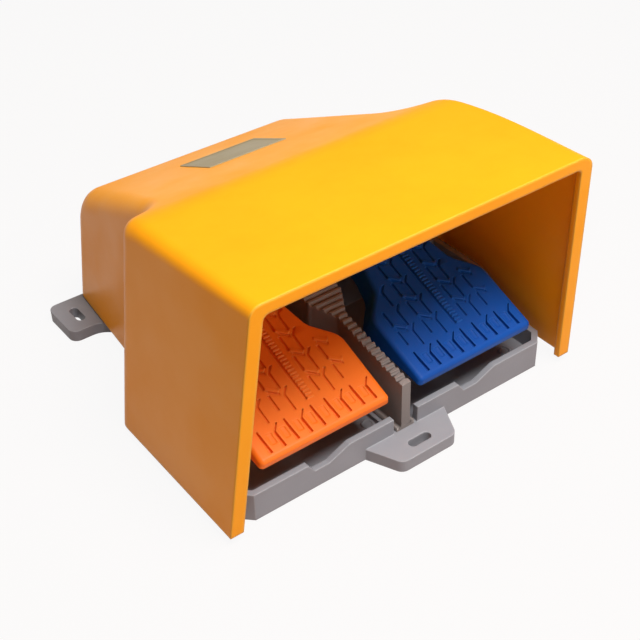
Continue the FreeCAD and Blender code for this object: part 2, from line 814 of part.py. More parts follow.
def hood_form(name, inset, front_shift, low, high, roof_drop):
    """One solid form of the hood: leaning walls, two roof slopes and rounded corners."""
    low_plan = hood_plan(low, inset, front_shift)
    high_plan = hood_plan(high, inset, front_shift)
    front, side_corner, waist, rear = range(4)
    beyond = S.hood_tail_back
    form = body(name)

    section = sketch(form, name + "_section", "XZ_Plane")
    polygon(section, [
        (-low_plan[front][0], low),
        (low_plan[front][0], low),
        (high_plan[front][0], high),
        (-high_plan[front][0], high),
    ])
    pad(form, section, beyond * 4, both=True)

    ends = sketch(form, name + "_ends", "YZ_Plane")
    polygon(ends, line_block(low_plan[front][1], high_plan[front][1], low, high, -beyond * 4))
    polygon(ends, line_block(low_plan[rear][1], high_plan[rear][1], low, high, beyond * 4))
    pocket(form, ends, S.hood_half_low * 4, both=True)

    waist_x, waist_y = low_plan[waist]
    side_x = low_plan[side_corner][0] * 2 - waist_x
    side_y = low_plan[side_corner][1] * 2 - waist_y
    rear_x = low_plan[rear][0] * 2 - waist_x
    beyond_y = low_plan[rear][1] * 2 - waist_y
    lean = (high_plan[waist][0] - waist_x, high_plan[waist][1] - waist_y, high - low)
    for side, word in SIDES.items():
        shoulder = sketch(form, "%s_shoulder_%s" % (name, word), "XY_Plane", low)
        polygon(shoulder, [
            (side * waist_x, waist_y),
            (side * side_x, side_y),
            (side * side_x, beyond_y),
            (side * rear_x, beyond_y),
        ])
        slanted = form.newObject("PartDesign::Pocket", shoulder.Name + "_cut")
        slanted.Profile = shoulder
        slanted.AlongSketchNormal = False
        slanted.UseCustomVector = True
        for axis, run in zip("xyz", (side * lean[0], lean[1], lean[2])):
            bind(slanted, "Direction.%s" % axis, run)
        bind(slanted, "Length", beyond * 4)
        slanted.Reversed = False
        doc.recompute()

    def stands_at(edge, corner):
        """True for an upright edge of the form that starts at a corner of its plan."""
        return any(
            abs(abs(point.x) - float(low_plan[corner][0])) + abs(point.y - float(low_plan[corner][1])) < 0.1
            and abs(point.z - float(low)) < 0.1 for point in ends_of(edge)) and (
            abs(edge.Vertexes[0].Z - edge.Vertexes[-1].Z) > float(S.hood_wall))

    roof = sketch(form, name + "_roof", "YZ_Plane")
    ridge_z = S.ridge_z - roof_drop
    rear_end = low_plan[rear][1] + beyond
    front_end = low_plan[front][1] - beyond
    sky = high + beyond
    polygon(roof, [
        (front_end, ridge_z + roof_front_slope * (S.ridge_y - front_end)),
        (S.ridge_y, ridge_z),
        (rear_end, ridge_z - (rear_end - S.ridge_y) * S.roof_fall),
        (rear_end, sky),
        (front_end, sky),
    ])
    pocket(form, roof, S.hood_half_low * 4, both=True)
    round_edges(form, name + "_ridge_round", S.ridge_round, lambda edge: runs_along(edge, 0) and lies_at(
        edge, y=S.ridge_y, z=ridge_z))
    round_edges(form, name + "_back_round", S.rear_round - inset, lambda edge: runs_along(edge, 0) and (
        edge.CenterOfMass.y > float(S.lug_rear_y - S.lug_length) and edge.CenterOfMass.z > float(S.axle_z)))
    for word, corner, radius in (("side", side_corner, S.hood_corner_round - inset),
                                 ("waist", waist, S.hood_inner_corner + inset)):
        round_edges(form, "%s_%s_round" % (name, word), radius, lambda edge: stands_at(edge, corner))
    return form


def line_block(low_y, high_y, low, high, reach):
    """The region beyond a leaning end face, from below the low level to above the high one."""
    lean = (high_y - low_y) / (high - low)
    bottom = low - S.hood_foot_round
    top = high + S.hood_foot_round
    return [
        (low_y + lean * (bottom - low), bottom),
        (low_y + lean * (top - low), top),
        (reach, top),
        (reach, bottom),
    ]


def hood_core():
    """The hollow of the hood, which stops short of the thicker front rim."""
    core = hood_form("hood_core", S.hood_wall, S.rim_depth, measure(0), S.hood_plane + S.tail_lift, S.hood_wall)
    return edged("hood_core_edged", core, S.hood_core_edge, S.hood_core_edge)


def edged(name, form, front_radius, rear_radius):
    """Rounds the long top edges, wider towards the rear."""
    shape = form.Shape
    rounds = []
    span = float(rear_y + S.hood_front_high)
    for index, edge in enumerate(shape.Edges, 1):
        if not bounds_the_roof(shape, edge):
            continue
        radii = []
        for point in ends_of(edge):
            part = min(1.0, (point.y + float(S.hood_front_high)) / span)
            if point.z < float(S.ridge_z) * LOW_SHARE:
                part = 1.0
            radii.append(float(front_radius) + (float(rear_radius) - float(front_radius)) * part)
        rounds.append((index, radii[0], radii[1]))
    thing = doc.addObject("Part::Fillet", name)
    thing.Base = form
    thing.Edges = rounds
    doc.recompute()
    return thing


def bounds_the_roof(shape, edge):
    """True for an edge between a side face and the roof or rear of a hood form."""
    start, end = ends_of(edge)
    middle = edge.CenterOfMass
    if abs(start.x + end.x) < 1 or max(start.z, end.z) < float(S.tail_lift) + float(S.hood_bottom):
        return False
    kinds = set()
    for face in shape.Faces:
        if any(edge.isSame(other) for other in face.Edges):
            normal = face.normalAt(*face.Surface.parameter(middle))
            if abs(normal.z) > 0.999 or (normal.y < -0.9):
                return False
            level = abs(normal.z) < 0.3
            kinds.add("side" if abs(normal.x) > 0.5 or (level and middle.y < float(S.lug_front_y)) else "top")
    return len(kinds) == 2


def roof_turn():
    return FreeCAD.Rotation(X_AXIS, -math.degrees(math.atan(S.roof_fall.number)))


def on_roof(name, margin, thickness, sink):
    """A flat block on the hood's rear slope, sunk below its surface."""
    cos = 1 / math.sqrt(1 + S.roof_fall.number ** 2)
    start_y = S.ridge_y + S.plate_start - margin
    start_z = S.ridge_z - (start_y - S.ridge_y) * S.roof_fall
    block = doc.addObject("Part::Box", name)
    bind(block, "Length", S.plate_width + margin * 2)
    bind(block, "Width", S.plate_length + margin * 2)
    bind(block, "Height", thickness)
    place(block, -(S.plate_width / 2) - margin, start_y - sink * S.roof_fall * cos, start_z - sink * cos, roof_turn())
    return block


def hood():
    outer = edged("hood_outer_edged", hood_form("hood_outer", measure(0), measure(0), S.hood_bottom,
                                                S.hood_plane + S.tail_lift, measure(0)),
                  S.hood_edge_front, S.hood_edge_rear)
    mouth = body("hood_mouth")
    rim = sketch(mouth, "mouth_section", "XZ_Plane", S.hood_front_low - S.rim_depth * 3)
    inset = S.rim_thick
    polygon(rim, [
        (-(S.hood_half_low - inset), -S.hood_bottom),
        (S.hood_half_low - inset, -S.hood_bottom),
        (S.hood_half_high - inset, S.hood_plane - inset),
        (-(S.hood_half_high - inset), S.hood_plane - inset),
    ])
    pad(mouth, rim, S.rim_depth * WELL_PAST)
    round_edges(mouth, "mouth_corners", S.mouth_round, lambda edge: runs_along(edge, 1) and (
        lies_at(edge, z=S.hood_plane - inset)))
    far = S.hood_half_low + S.hood_wall
    tail_end = rear_y + S.hood_foot_round * 2
    tail_foot = body("hood_tail_foot")
    foot = sketch(tail_foot, "tail_foot_side", "YZ_Plane")
    polygon(foot, [
        (S.hood_wide_rear_low - S.tail_lift, -S.hood_bottom),
        (S.hood_wide_rear_low - S.tail_lift, S.hood_bottom),
        (S.hood_wide_rear_low, S.hood_bottom + S.tail_lift),
        (tail_end, S.hood_bottom + S.tail_lift),
        (tail_end, -S.hood_bottom),
    ])
    pad(tail_foot, foot, far * 2, both=True)
    notch_half = S.gland_hex * NOTCH_SHARE
    voids = [
        hood_core(), mouth, tail_foot,
        box("gland_gap", -notch_half, notch_half, rear_wall_y, tail_end, measure(0), S.gland_height),
        rod("gland_gap_top", notch_half, tail_end - rear_wall_y, 0, rear_wall_y, S.gland_height, "y"),
        on_roof("plate_recess", S.hole_gap, S.plate_thick * 4, S.plate_thick / 2),
    ]
    shell = cut("hood_shell", outer, fused("hood_voids", voids))
    lugs = []
    pilots = []
    for side, word in SIDES.items():
        for i, place_y in enumerate((S.lug_front_y, S.lug_rear_y)):
            x, y = hood_boss_place(side, place_y)
            near = x - side * S.lug_length / 2
            reach = side * S.hood_half_high
            low_x, high_x = (near, reach) if side > 0 else (reach, near)
            lugs.append(box("lug_%s%d" % (word, i), low_x, high_x, y - S.lug_length / 2,
                            y + S.lug_length / 2, S.side_wall_top, S.side_wall_top + S.lug_height))
            pilots.append(rod("lug_bore_%s%d" % (word, i), S.screw_radius + S.seat_gap,
                              S.lug_height - S.hood_wall / 2, x, y, S.side_wall_top))
    lug_ends = doc.addObject("Part::MultiCommon", "lug_ends")
    lug_ends.Shapes = [fused("lug_boxes", lugs), outer]
    return cut("hood", fused("hood_with_lugs", [shell, lug_ends]), fused("lug_bores", pilots))


def pedal_outline():
    """Right half of the tread's outline, from the front edge to behind the hub."""
    front = -S.pedal_reach
    return [
        (S.pedal_width / 2, front),
        (S.pedal_width / 2, -S.shoulder_back),
        (S.neck_width / 2, -S.neck_start),
        (S.neck_rear_width / 2, -S.neck_rear_back),
        (S.neck_rear_width / 2, -S.waist_start),
        (S.waist_width / 2, S.tread_thick - S.waist_start),
        (S.waist_width / 2, S.hub_radius),
    ]


def upright(across, drop):
    """Pedal coordinates of a point given level and plumb from the axle when the pedal is at rest."""
    angle = S.pedal_slope
    return across * cosine(angle) - drop * sine(angle), -across * sine(angle) - drop * cosine(angle)


def pedal(side):
    word = SIDES[side]
    plate = body("pedal_" + word)
    place(plate, side * pedal_x, S.axle_y, S.axle_z, FreeCAD.Rotation(X_AXIS, S.pedal_slope.number))
    bind(plate, "Placement.Rotation.Angle", S.pedal_slope)
    outline = pedal_outline()
    tread = sketch(plate, "tread_" + word, "XY_Plane", S.tread_rise)
    polygon(tread, mirrored(outline))
    pad(plate, tread, S.skirt_depth, backward=True, taper=S.skirt_draft)

    def falls_from(edge, corner):
        x, y = outline[corner]
        return any(abs(abs(p.x) - float(x)) + abs(p.y - float(y)) + abs(p.z - float(S.tread_rise)) < 0.1
                   for p in ends_of(edge)) and (
            abs(edge.Vertexes[0].Z - edge.Vertexes[-1].Z) > float(S.tread_thick))

    for corner, radius in enumerate((S.front_corner, S.shoulder_round, S.shoulder_round, S.neck_round)):
        round_edges(plate, "outline_round_%s%d" % (word, corner), radius, lambda edge: falls_from(edge, corner))

    front = -S.pedal_reach
    bottom = S.tread_rise - S.skirt_depth
    lip = S.tread_rise - S.lip_depth
    ahead = front - S.skirt_depth
    under = sketch(plate, "underside_" + word, "YZ_Plane")
    polygon(under, [
        (ahead, lip),
        (front + S.skirt_thick, lip),
        (front + S.lip_slope, bottom),
        (front + S.lip_slope, bottom - S.skirt_thick),
        (ahead, bottom - S.skirt_thick),
    ])
    pocket(plate, under, S.pedal_width * 2, both=True)

    channels = sketch(plate, "channels_" + word, "XY_Plane", S.tread_rise - S.tread_thick)
    near = S.pedal_rib_side - S.pedal_rib / 2
    far = S.pedal_rib_side + S.pedal_rib / 2
    start = front + S.skirt_thick
    rectangle(channels, -near, near, start, S.hub_radius * 2)
    skirt = S.skirt_thick
    for turn in (-1, 1):
        polygon(channels, [
            (turn * far, start),
            (turn * (S.pedal_width / 2 - skirt), start),
            (turn * (S.pedal_width / 2 - skirt), -S.shoulder_back - skirt / 2),
            (turn * (S.neck_width / 2 - skirt), -S.neck_start - skirt / 2),
            (turn * (S.neck_rear_width / 2 - skirt), -S.neck_rear_back),
            (turn * (S.neck_rear_width / 2 - skirt), -S.waist_start - skirt),
            (turn * far, -S.waist_start - skirt),
        ])
    pocket(plate, channels, S.skirt_depth * 2)

    hub = sketch(plate, "hub_" + word, "YZ_Plane")
    circle(hub, measure(0), measure(0), S.hub_radius)
    pad(plate, hub, hub_half * 2, both=True)
    lever = sketch(plate, "lever_" + word, "YZ_Plane", -(side * S.lever_side) - S.lever_width / 2)
    half = S.lever_half
    drop = S.lever_arm + S.lever_tail
    polygon(lever, [upright(-half, 0), upright(half, 0), upright(half, drop), upright(-half, drop)])
    pad(plate, lever, S.lever_width)
    bore = sketch(plate, "hub_bore_" + word, "YZ_Plane")
    circle(bore, measure(0), measure(0), S.bush_radius)
    pocket(plate, bore, S.pedal_width, both=True)
    round_edges(plate, "lip_round_" + word, S.lip_round, lambda edge: runs_along(edge, 0) and lies_at(
        edge, y=front, z=S.tread_rise))
    return plate


def axle(side):
    half = post_outer + S.clip_thick + S.axle_end
    inner = post_outer + S.clip_gap
    outer = inner + S.clip_thick + S.clip_gap
    neck = S.axle_radius - S.clip_groove_depth
    return turned("axle_" + SIDES[side], "x", (side * pedal_x, S.axle_y, S.axle_z), [
        (-half, 0), (-half, S.axle_radius), (-outer, S.axle_radius), (-outer, neck), (-inner, neck),
        (-inner, S.axle_radius), (inner, S.axle_radius), (inner, neck), (outer, neck),
        (outer, S.axle_radius), (half, S.axle_radius), (half, 0),
    ])


def clips():
    pieces = []
    for side, word in SIDES.items():
        for end in (-1, 1):
            start = side * pedal_x + end * (post_outer + S.clip_gap + S.clip_thick / 2) - S.clip_thick / 2
            name = "clip_%s%d" % (word, end + 1)
            bore = S.axle_radius - S.clip_groove_depth + S.seat_gap
            disc = rod(name + "_disc", S.clip_radius, S.clip_thick, start, S.axle_y, S.axle_z, "x")
            hole = rod(name + "_hole", bore, S.clip_thick * 2, start - S.clip_thick / 2, S.axle_y, S.axle_z, "x")
            gap = box(name + "_gap", start - S.clip_thick, start + S.clip_thick * 2,
                      S.axle_y - bore * S.clip_mouth, S.axle_y + bore * S.clip_mouth,
                      S.axle_z - S.clip_radius * 2, S.axle_z)
            pieces.append(cut(name, disc, fused(name + "_open", [hole, gap])))
    return gathered("axle_clips", pieces)


def bushes(side):
    pieces = []
    for end in (-1, 1):
        start = side * pedal_x + end * (hub_half + S.bush_flange_thick)
        flange = -end * S.bush_flange_thick
        inner = -end * (S.bush_flange_thick + S.bush_length)
        bore = S.axle_radius + S.running_gap
        sleeve = S.bush_radius - S.seat_gap
        pieces.append(turned("bush_%s%d" % (SIDES[side], end + 1), "x", (start, S.axle_y, S.axle_z), [
            (0, bore), (0, S.bush_flange_radius), (flange, S.bush_flange_radius), (flange, sleeve),
            (inner, sleeve), (inner, bore),
        ]))
    return gathered("pedal_bushes_" + SIDES[side], pieces)


def coil(name, radius, wire, pitch, turns, left_handed=False, last_angle=None):
    """A coil along its own Z axis from its own X axis, made of half rings that tilt by turns."""
    slope = math.atan(pitch.number / (radius.number * 4))
    tilt = math.degrees(slope)
    halves = int(turns.number * 2)
    rings = []
    for k in range(halves):
        ring = doc.addObject("Part::Torus", "%s_ring%d" % (name, k))
        bind(ring, "Radius1", radius * (1 / math.cos(slope)))
        bind(ring, "Radius2", wire)
        ring.Angle3 = 180
        far_side = k % 2 == (0 if left_handed else 1)
        lean = FreeCAD.Rotation(Y_AXIS, -tilt if k % 2 else tilt)
        rings.append(place(ring, 0, 0, pitch * (k / 2 + 0.25), lean * FreeCAD.Rotation(Z_AXIS, 180 * far_side)))
    if last_angle is not None:
        ring = doc.addObject("Part::Torus", name + "_end")
        bind(ring, "Radius1", radius)
        bind(ring, "Radius2", wire)
        bind(ring, "Angle3", last_angle)
        turn = -last_angle.number if left_handed else 0
        rings.append(place(ring, 0, 0, pitch * (halves / 2), FreeCAD.Rotation(Z_AXIS, turn)))
    return fused(name, rings)


def return_spring(side):
    """Coil round the hub, one leg forward under the tread and one leg down against its rib."""
    word = SIDES[side]
    height = S.spring_pitch * S.spring_turns
    far = side * (pedal_x + S.spring_side) + side * height / 2
    near = far - side * height
    winding = coil("winding_" + word, S.spring_radius, S.spring_wire, S.spring_pitch, S.spring_turns,
                   side == RIGHT, S.pedal_slope + 90)
    turn = FreeCAD.Rotation(X_AXIS, -side * 90) * FreeCAD.Rotation(Y_AXIS, -side * 90)
    place(winding, far, S.axle_y, S.axle_z, turn)
    down = rod("leg_down_" + word, S.spring_wire, S.spring_leg_down, far, S.axle_y + S.spring_radius,
               S.axle_z - S.spring_leg_down)
    slope = S.pedal_slope
    forward = rod("leg_forward_" + word, S.spring_wire, S.spring_leg_up, near,
                  S.axle_y - S.spring_radius * sine(slope), S.axle_z + S.spring_radius * cosine(slope))
    forward.Placement = FreeCAD.Placement(forward.Placement.Base, FreeCAD.Rotation(X_AXIS, QUARTER_TURN + slope.number))
    bind(forward, "Placement.Rotation.Angle", QUARTER_TURN + slope)
    return fused("return_spring_" + word, [winding, down, forward])


def bumpers():
    pieces = []
    y, z = bumper_centre()
    for side, word in SIDES.items():
        for i, (x, place_y) in enumerate(bumper_places(side)):
            name = "bumper_%s%d" % (word, i)
            dome = doc.addObject("Part::Sphere", name + "_dome")
            bind(dome, "Radius", S.bumper_radius)
            dome.Angle1 = -DOME_FOOT
            place(dome, x, place_y, z)
            stem = rod(name + "_stem", S.bumper_stem_radius, S.bumper_stem + S.clear_gap, x, place_y,
                       bumper_seat - S.bumper_stem)
            pieces.append(fused(name, [dome, stem]))
    return gathered("stop_bumpers", pieces)


def divider():
    wall = body("pedal_divider")
    plan = sketch(wall, "divider_plan", "XY_Plane", S.strip_top)
    thin = S.divider_foot / 2
    polygon(plan, mirrored([
        (thin, front_y),
        (thin, front_y + S.head_start),
        (S.head_width / 2, front_y + S.head_full),
        (S.head_width / 2, front_y + S.divider_length),
    ]))
    pad(wall, plan, S.axle_z)
    flange = sketch(wall, "divider_foot", "XY_Plane", S.strip_top)
    rectangle(flange, -S.foot_flange / 2, S.foot_flange / 2, front_y, front_y + S.head_start)
    pad(wall, flange, S.foot_flange_rise)
    slope = tangent(S.divider_slope)
    top = S.divider_front_top
    sky = S.axle_z * 2
    crest = sketch(wall, "divider_crest", "YZ_Plane")
    ahead = front_y - S.wall_thick
    behind = front_y + S.divider_length + S.wall_thick
    polygon(crest, [
        (ahead, top - slope * S.wall_thick),
        (behind, top + slope * (S.divider_length + S.wall_thick)),
        (behind, sky),
        (ahead, sky),
    ])
    pocket(wall, crest, S.axle_z, both=True)
    teeth = sketch(wall, "divider_teeth", "YZ_Plane")
    for i in range(int(S.divider_length.number / S.tooth_pitch.number) - 1):
        start = S.tooth_pitch * (i + 1) - S.tooth_gap / 2
        end = start + S.tooth_gap
        polygon(teeth, [
            (front_y + start, top + slope * start - S.tooth_depth),
            (front_y + end, top + slope * end - S.tooth_depth),
            (front_y + end, top + slope * end + S.tooth_depth),
            (front_y + start, top + slope * start + S.tooth_depth),
        ])
    pocket(wall, teeth, S.axle_z, both=True)
    hollow = sketch(wall, "divider_hollow", "XY_Plane", S.strip_top)
    inner = S.head_width / 2 - S.wall_thick
    rectangle(hollow, -inner, inner, front_y + S.divider_screw_rear + S.screw_radius * 2,
              front_y + S.divider_length - S.wall_thick)
    pocket(wall, hollow, S.lever_arm, backward=True)
    pilots = sketch(wall, "divider_pilots", "XY_Plane", S.strip_top)
    for y in divider_screw_ys:
        circle(pilots, measure(0), y, S.terminal_screw_radius + S.seat_gap)
    pocket(wall, pilots, S.divider_screw_length, backward=True)
    return wall


def screw(name, axis, origin, toward, radius, length, head_radius, head):
    """A screw whose head starts at the origin; toward is the way its shank points."""
    return turned(name, axis, origin, [
        (0, 0), (0, head_radius), (toward * head, head_radius), (toward * head, radius),
        (toward * (head + length), radius), (toward * (head + length), 0),
    ])


def switch_housing(side):
    word = SIDES[side]
    x = side * block_x
    half = S.block_width / 2
    top = block_bottom + S.block_height
    inner, outer = x - side * half, x + side * (half - S.block_cover)

    def across(a, b):
        return (a, b) if side > 0 else (b, a)

    low_x, high_x = across(inner, outer)
    case = box("case_" + word, low_x, high_x, block_front_y, block_rear_y, block_bottom, top)
    sole = box("sole_" + word, x - half, x + half, block_front_y, block_rear_y,
               block_bottom, block_bottom + S.block_ear_thick)
    mid_y = block_front_y + S.block_length / 2
    ears = box("ears_" + word, x - half - S.block_ear, x + half + S.block_ear,
               mid_y - S.block_ear_length / 2, mid_y + S.block_ear_length / 2,
               block_bottom, block_bottom + S.block_ear_thick)
    wall = S.block_wall
    low_x, high_x = across(inner + side * wall, outer)
    front, rear = block_front_y + wall, block_rear_y - S.block_rear_wall
    low, high = block_bottom + wall, top - wall
    cavity = drawn_plate("cavity_" + word, "YZ_Plane", low_x, high_x - low_x, [
        (front, low), (rear, low), (rear, high), (front + S.block_pillar, high),
        (front + S.block_pillar, high - S.block_pillar), (front, high - S.block_pillar),
    ])
    holes = [cavity, rod("plunger_bore_" + word, S.plunger_radius + S.running_gap, wall * 2,
                         x, block_front_y - wall / 2, plunger_z, "y")]
    for i, (ear_x, ear_y) in enumerate(ear_places(side)):
        holes.append(rod("ear_clear_%s%d" % (word, i), S.block_screw_radius + S.hole_gap,
                         S.block_ear_thick * 2, ear_x, ear_y, block_bottom - S.block_wall))
    for i, (offset, up) in enumerate(strip_places(side)):
        holes.append(box("strip_slot_%s%d" % (word, i), *strip_span(side, offset), rear - wall,
                         block_rear_y + wall, *strip_levels(up)))
        holes.append(rod("terminal_bore_%s%d" % (word, i), S.terminal_screw_radius + S.seat_gap,
                         S.terminal_screw_length + S.clear_gap, x + side * offset,
                         block_rear_y - S.terminal_screw_length - S.clear_gap,
                         terminal_height(up), "y"))
    for i, (y, z) in enumerate(cover_screw_places()):
        start = outer - side * S.cover_screw_length
        low_x, high_x = across(start - side * S.clear_gap, outer + side * S.block_cover)
        holes.append(rod("cover_bore_%s%d" % (word, i), S.terminal_screw_radius + S.seat_gap,
                         high_x - low_x, low_x, y, z, "x"))
    return cut("switch_housing_" + word, fused("housing_solid_" + word, [case, sole, ears]),
               fused("housing_voids_" + word, holes))


def cover_screw_places():
    """Y and Z of the two screws of a cover: in the front pillar and in the rear wall."""
    top = block_bottom + S.block_height
    pillar = (S.block_wall + S.block_pillar) / 2
    return [(block_front_y + pillar, top - pillar), (block_rear_y - S.block_rear_wall / 2, plunger_z)]


def strip_places(side):
    """Offset across and side up or down of the four contact strips: break pair, then make pair."""
    return [(-S.strip_offset, 1), (-S.strip_offset, -1), (S.strip_offset, 1), (S.strip_offset, -1)]


def strip_span(side, offset):
    middle = side * (block_x + offset)
    return middle - S.strip_wide / 2, middle + S.strip_wide / 2


def strip_levels(up):
    wall_face = plunger_z + up * (S.block_height / 2 - S.block_wall)
    other = wall_face - up * S.strip_thick
    return (other, wall_face) if up > 0 else (wall_face, other)


def terminal_height(up):
    return plunger_z + up * S.button_height


def switch_cover(side):
    word = SIDES[side]
    half = S.block_width / 2
    a, b = side * (block_x + half - S.block_cover), side * (block_x + half)
    low_x, high_x = (a, b) if side > 0 else (b, a)
    plate = box("cover_plate_" + word, low_x, high_x, block_front_y, block_rear_y,
                block_bottom + S.block_ear_thick, block_bottom + S.block_height)
    holes = [rod("cover_hole_%s%d" % (word, i), S.terminal_screw_radius + S.hole_gap, S.block_cover * 2,
                 low_x - S.block_cover / 2, y, z, "x")
             for i, (y, z) in enumerate(cover_screw_places())]
    return cut("switch_cover_" + word, plate, fused("cover_holes_" + word, holes))


bridge_front = block_front_y + S.bridge_back
bridge_rear = bridge_front + S.bridge_thick
plunger_travel = S.plunger_ratio * S.pedal_travel * (math.pi / 180)


def plunger(side):
    word = SIDES[side]
    x = side * block_x
    tip = block_front_y - S.plunger_head
    dome = doc.addObject("Part::Sphere", "plunger_tip_" + word)
    bind(dome, "Radius", S.plunger_radius)
    place(dome, x, tip + S.plunger_radius, plunger_z)
    shaft = rod("plunger_shaft_" + word, S.plunger_radius, bridge_front - tip - S.plunger_radius,
                x, tip + S.plunger_radius, plunger_z, "y")
    tail = rod("plunger_tail_" + word, S.plunger_tail_radius, bridge_front - tip - S.plunger_radius + S.tail_length,
               x, tip + S.plunger_radius, plunger_z, "y")
    return fused("plunger_" + word, [dome, shaft, tail])


def contact_bridge(side):
    word = SIDES[side]
    x = side * block_x
    bar = box("bridge_bar_" + word, x - S.bridge_width / 2, x + S.bridge_width / 2, bridge_front, bridge_rear,
              plunger_z - S.bridge_half, plunger_z + S.bridge_half)
    buttons = [rod("button_%s%d" % (word, up + 1), S.button_radius, S.bridge_thick + S.button_rise * 2,
                   x, bridge_front - S.button_rise, plunger_z + up * S.button_height, "y") for up in (-1, 1)]
    hole = rod("bridge_hole_" + word, S.plunger_tail_radius + S.seat_gap, S.bridge_thick * 3,
               x, bridge_front - S.bridge_thick, plunger_z, "y")
    return cut("contact_bridge_" + word, fused("bridge_solid_" + word, [bar] + buttons), hole)


def fixed_contacts(side):
    """Four bent strips: the front pair is closed at rest, the rear pair when pressed."""
    word = SIDES[side]
    pieces = []
    break_face = bridge_front - S.button_rise - S.clear_gap
    make_face = bridge_rear + S.button_rise + plunger_travel + S.clear_gap
    for i, (offset, up) in enumerate(strip_places(side)):
        name = "strip_%s%d" % (word, i)
        front = break_face - S.strip_thick if offset.number < 0 else make_face
        low_x, high_x = strip_span(side, offset)
        tip_low, tip_high = reaching_past(low_x, high_x, side * block_x, S.button_radius)
        bottom, top = strip_levels(up)
        run = box(name + "_run", low_x, high_x, front, block_rear_y + S.strip_thick, bottom, top)
        reach = plunger_z + up * (S.button_height - S.button_radius)
        tip_z = (reach, top) if up > 0 else (bottom, reach)
        tip = box(name + "_tip", tip_low, tip_high, front, front + S.strip_thick, *tip_z)
        foot = box(name + "_foot", low_x, high_x, block_rear_y, block_rear_y + S.strip_thick, *tip_z)
        hole = rod(name + "_hole", S.terminal_screw_radius + S.hole_gap, S.strip_thick * 3,
                   side * (block_x + offset), block_rear_y - S.strip_thick, terminal_height(up), "y")
        pieces.append(cut(name, fused(name + "_solid", [run, tip, foot]), hole))
    return gathered("fixed_contacts_" + word, pieces)


def reaching_past(low_x, high_x, middle, margin):
    """Widens a span so that it reaches past the middle by a margin."""
    if middle.number > high_x.number:
        return low_x, middle + margin
    return middle - margin, high_x


def plunger_spring(side):
    word = SIDES[side]
    start = bridge_rear + S.coil_wire + S.clear_gap / 3
    end = block_rear_y - S.block_rear_wall - S.coil_wire - S.clear_gap / 3
    spiral = coil("plunger_spring_" + word, S.coil_radius, S.coil_wire, (end - start) / S.coil_turns, S.coil_turns)
    return place(spiral, side * block_x, start, plunger_z, ALONG["y"])


def small_screws():
    """The groups of identical screws."""
    terminals = []
    ears = []
    covers = []
    lids = []
    for side, word in SIDES.items():
        rear = block_rear_y + S.strip_thick
        for i, (offset, up) in enumerate(strip_places(side)):
            origin = (side * (block_x + offset), rear + S.terminal_head, terminal_height(up))
            terminals.append(screw("terminal_screw_%s%d" % (word, i), "y", origin, -1, S.terminal_screw_radius,
                                   S.terminal_screw_length + S.strip_thick, S.terminal_head_radius, S.terminal_head))
        for i, (x, y) in enumerate(ear_places(side)):
            origin = (x, y, block_bottom + S.block_ear_thick + S.screw_head)
            ears.append(screw("switch_screw_%s%d" % (word, i), "z", origin, -1, S.block_screw_radius,
                              S.ear_screw_length, S.ear_head_radius, S.screw_head))
        face = side * (block_x + S.block_width / 2)
        for i, (y, z) in enumerate(cover_screw_places()):
            origin = (face + side * S.terminal_head, y, z)
            covers.append(screw("cover_screw_%s%d" % (word, i), "x", origin, -side, S.terminal_screw_radius,
                                S.cover_screw_length + S.block_cover, S.terminal_head_radius, S.terminal_head))
        for i, place_y in enumerate((S.lug_front_y, S.lug_rear_y)):
            x, y = hood_boss_place(side, place_y)
            origin = (x, y, S.counterbore_depth - S.screw_head)
            lids.append(screw("hood_screw_%s%d" % (word, i), "z", origin, 1, S.screw_radius,
                              S.hood_screw_length, S.screw_head_radius, S.screw_head))
    posts = [screw("divider_screw%d" % i, "z", (0, y, 0), 1, S.terminal_screw_radius,
                   S.strip_top + S.divider_screw_length - S.terminal_head - S.clear_gap * 2,
                   S.terminal_head_radius, S.terminal_head)
             for i, y in enumerate(divider_screw_ys)]
    return [gathered("terminal_screws", terminals), gathered("switch_screws", ears),
            gathered("cover_screws", covers), gathered("hood_screws", lids), gathered("divider_screws", posts)]


def hexagon(name, flats, length, y):
    thing = doc.addObject("Part::Prism", name)
    thing.Polygon = 6
    bind(thing, "Circumradius", flats / 2 / cosine(measure(HEX_HALF_ANGLE)))
    bind(thing, "Height", length)
    return place(thing, 0, y, S.gland_height, ALONG["y"])


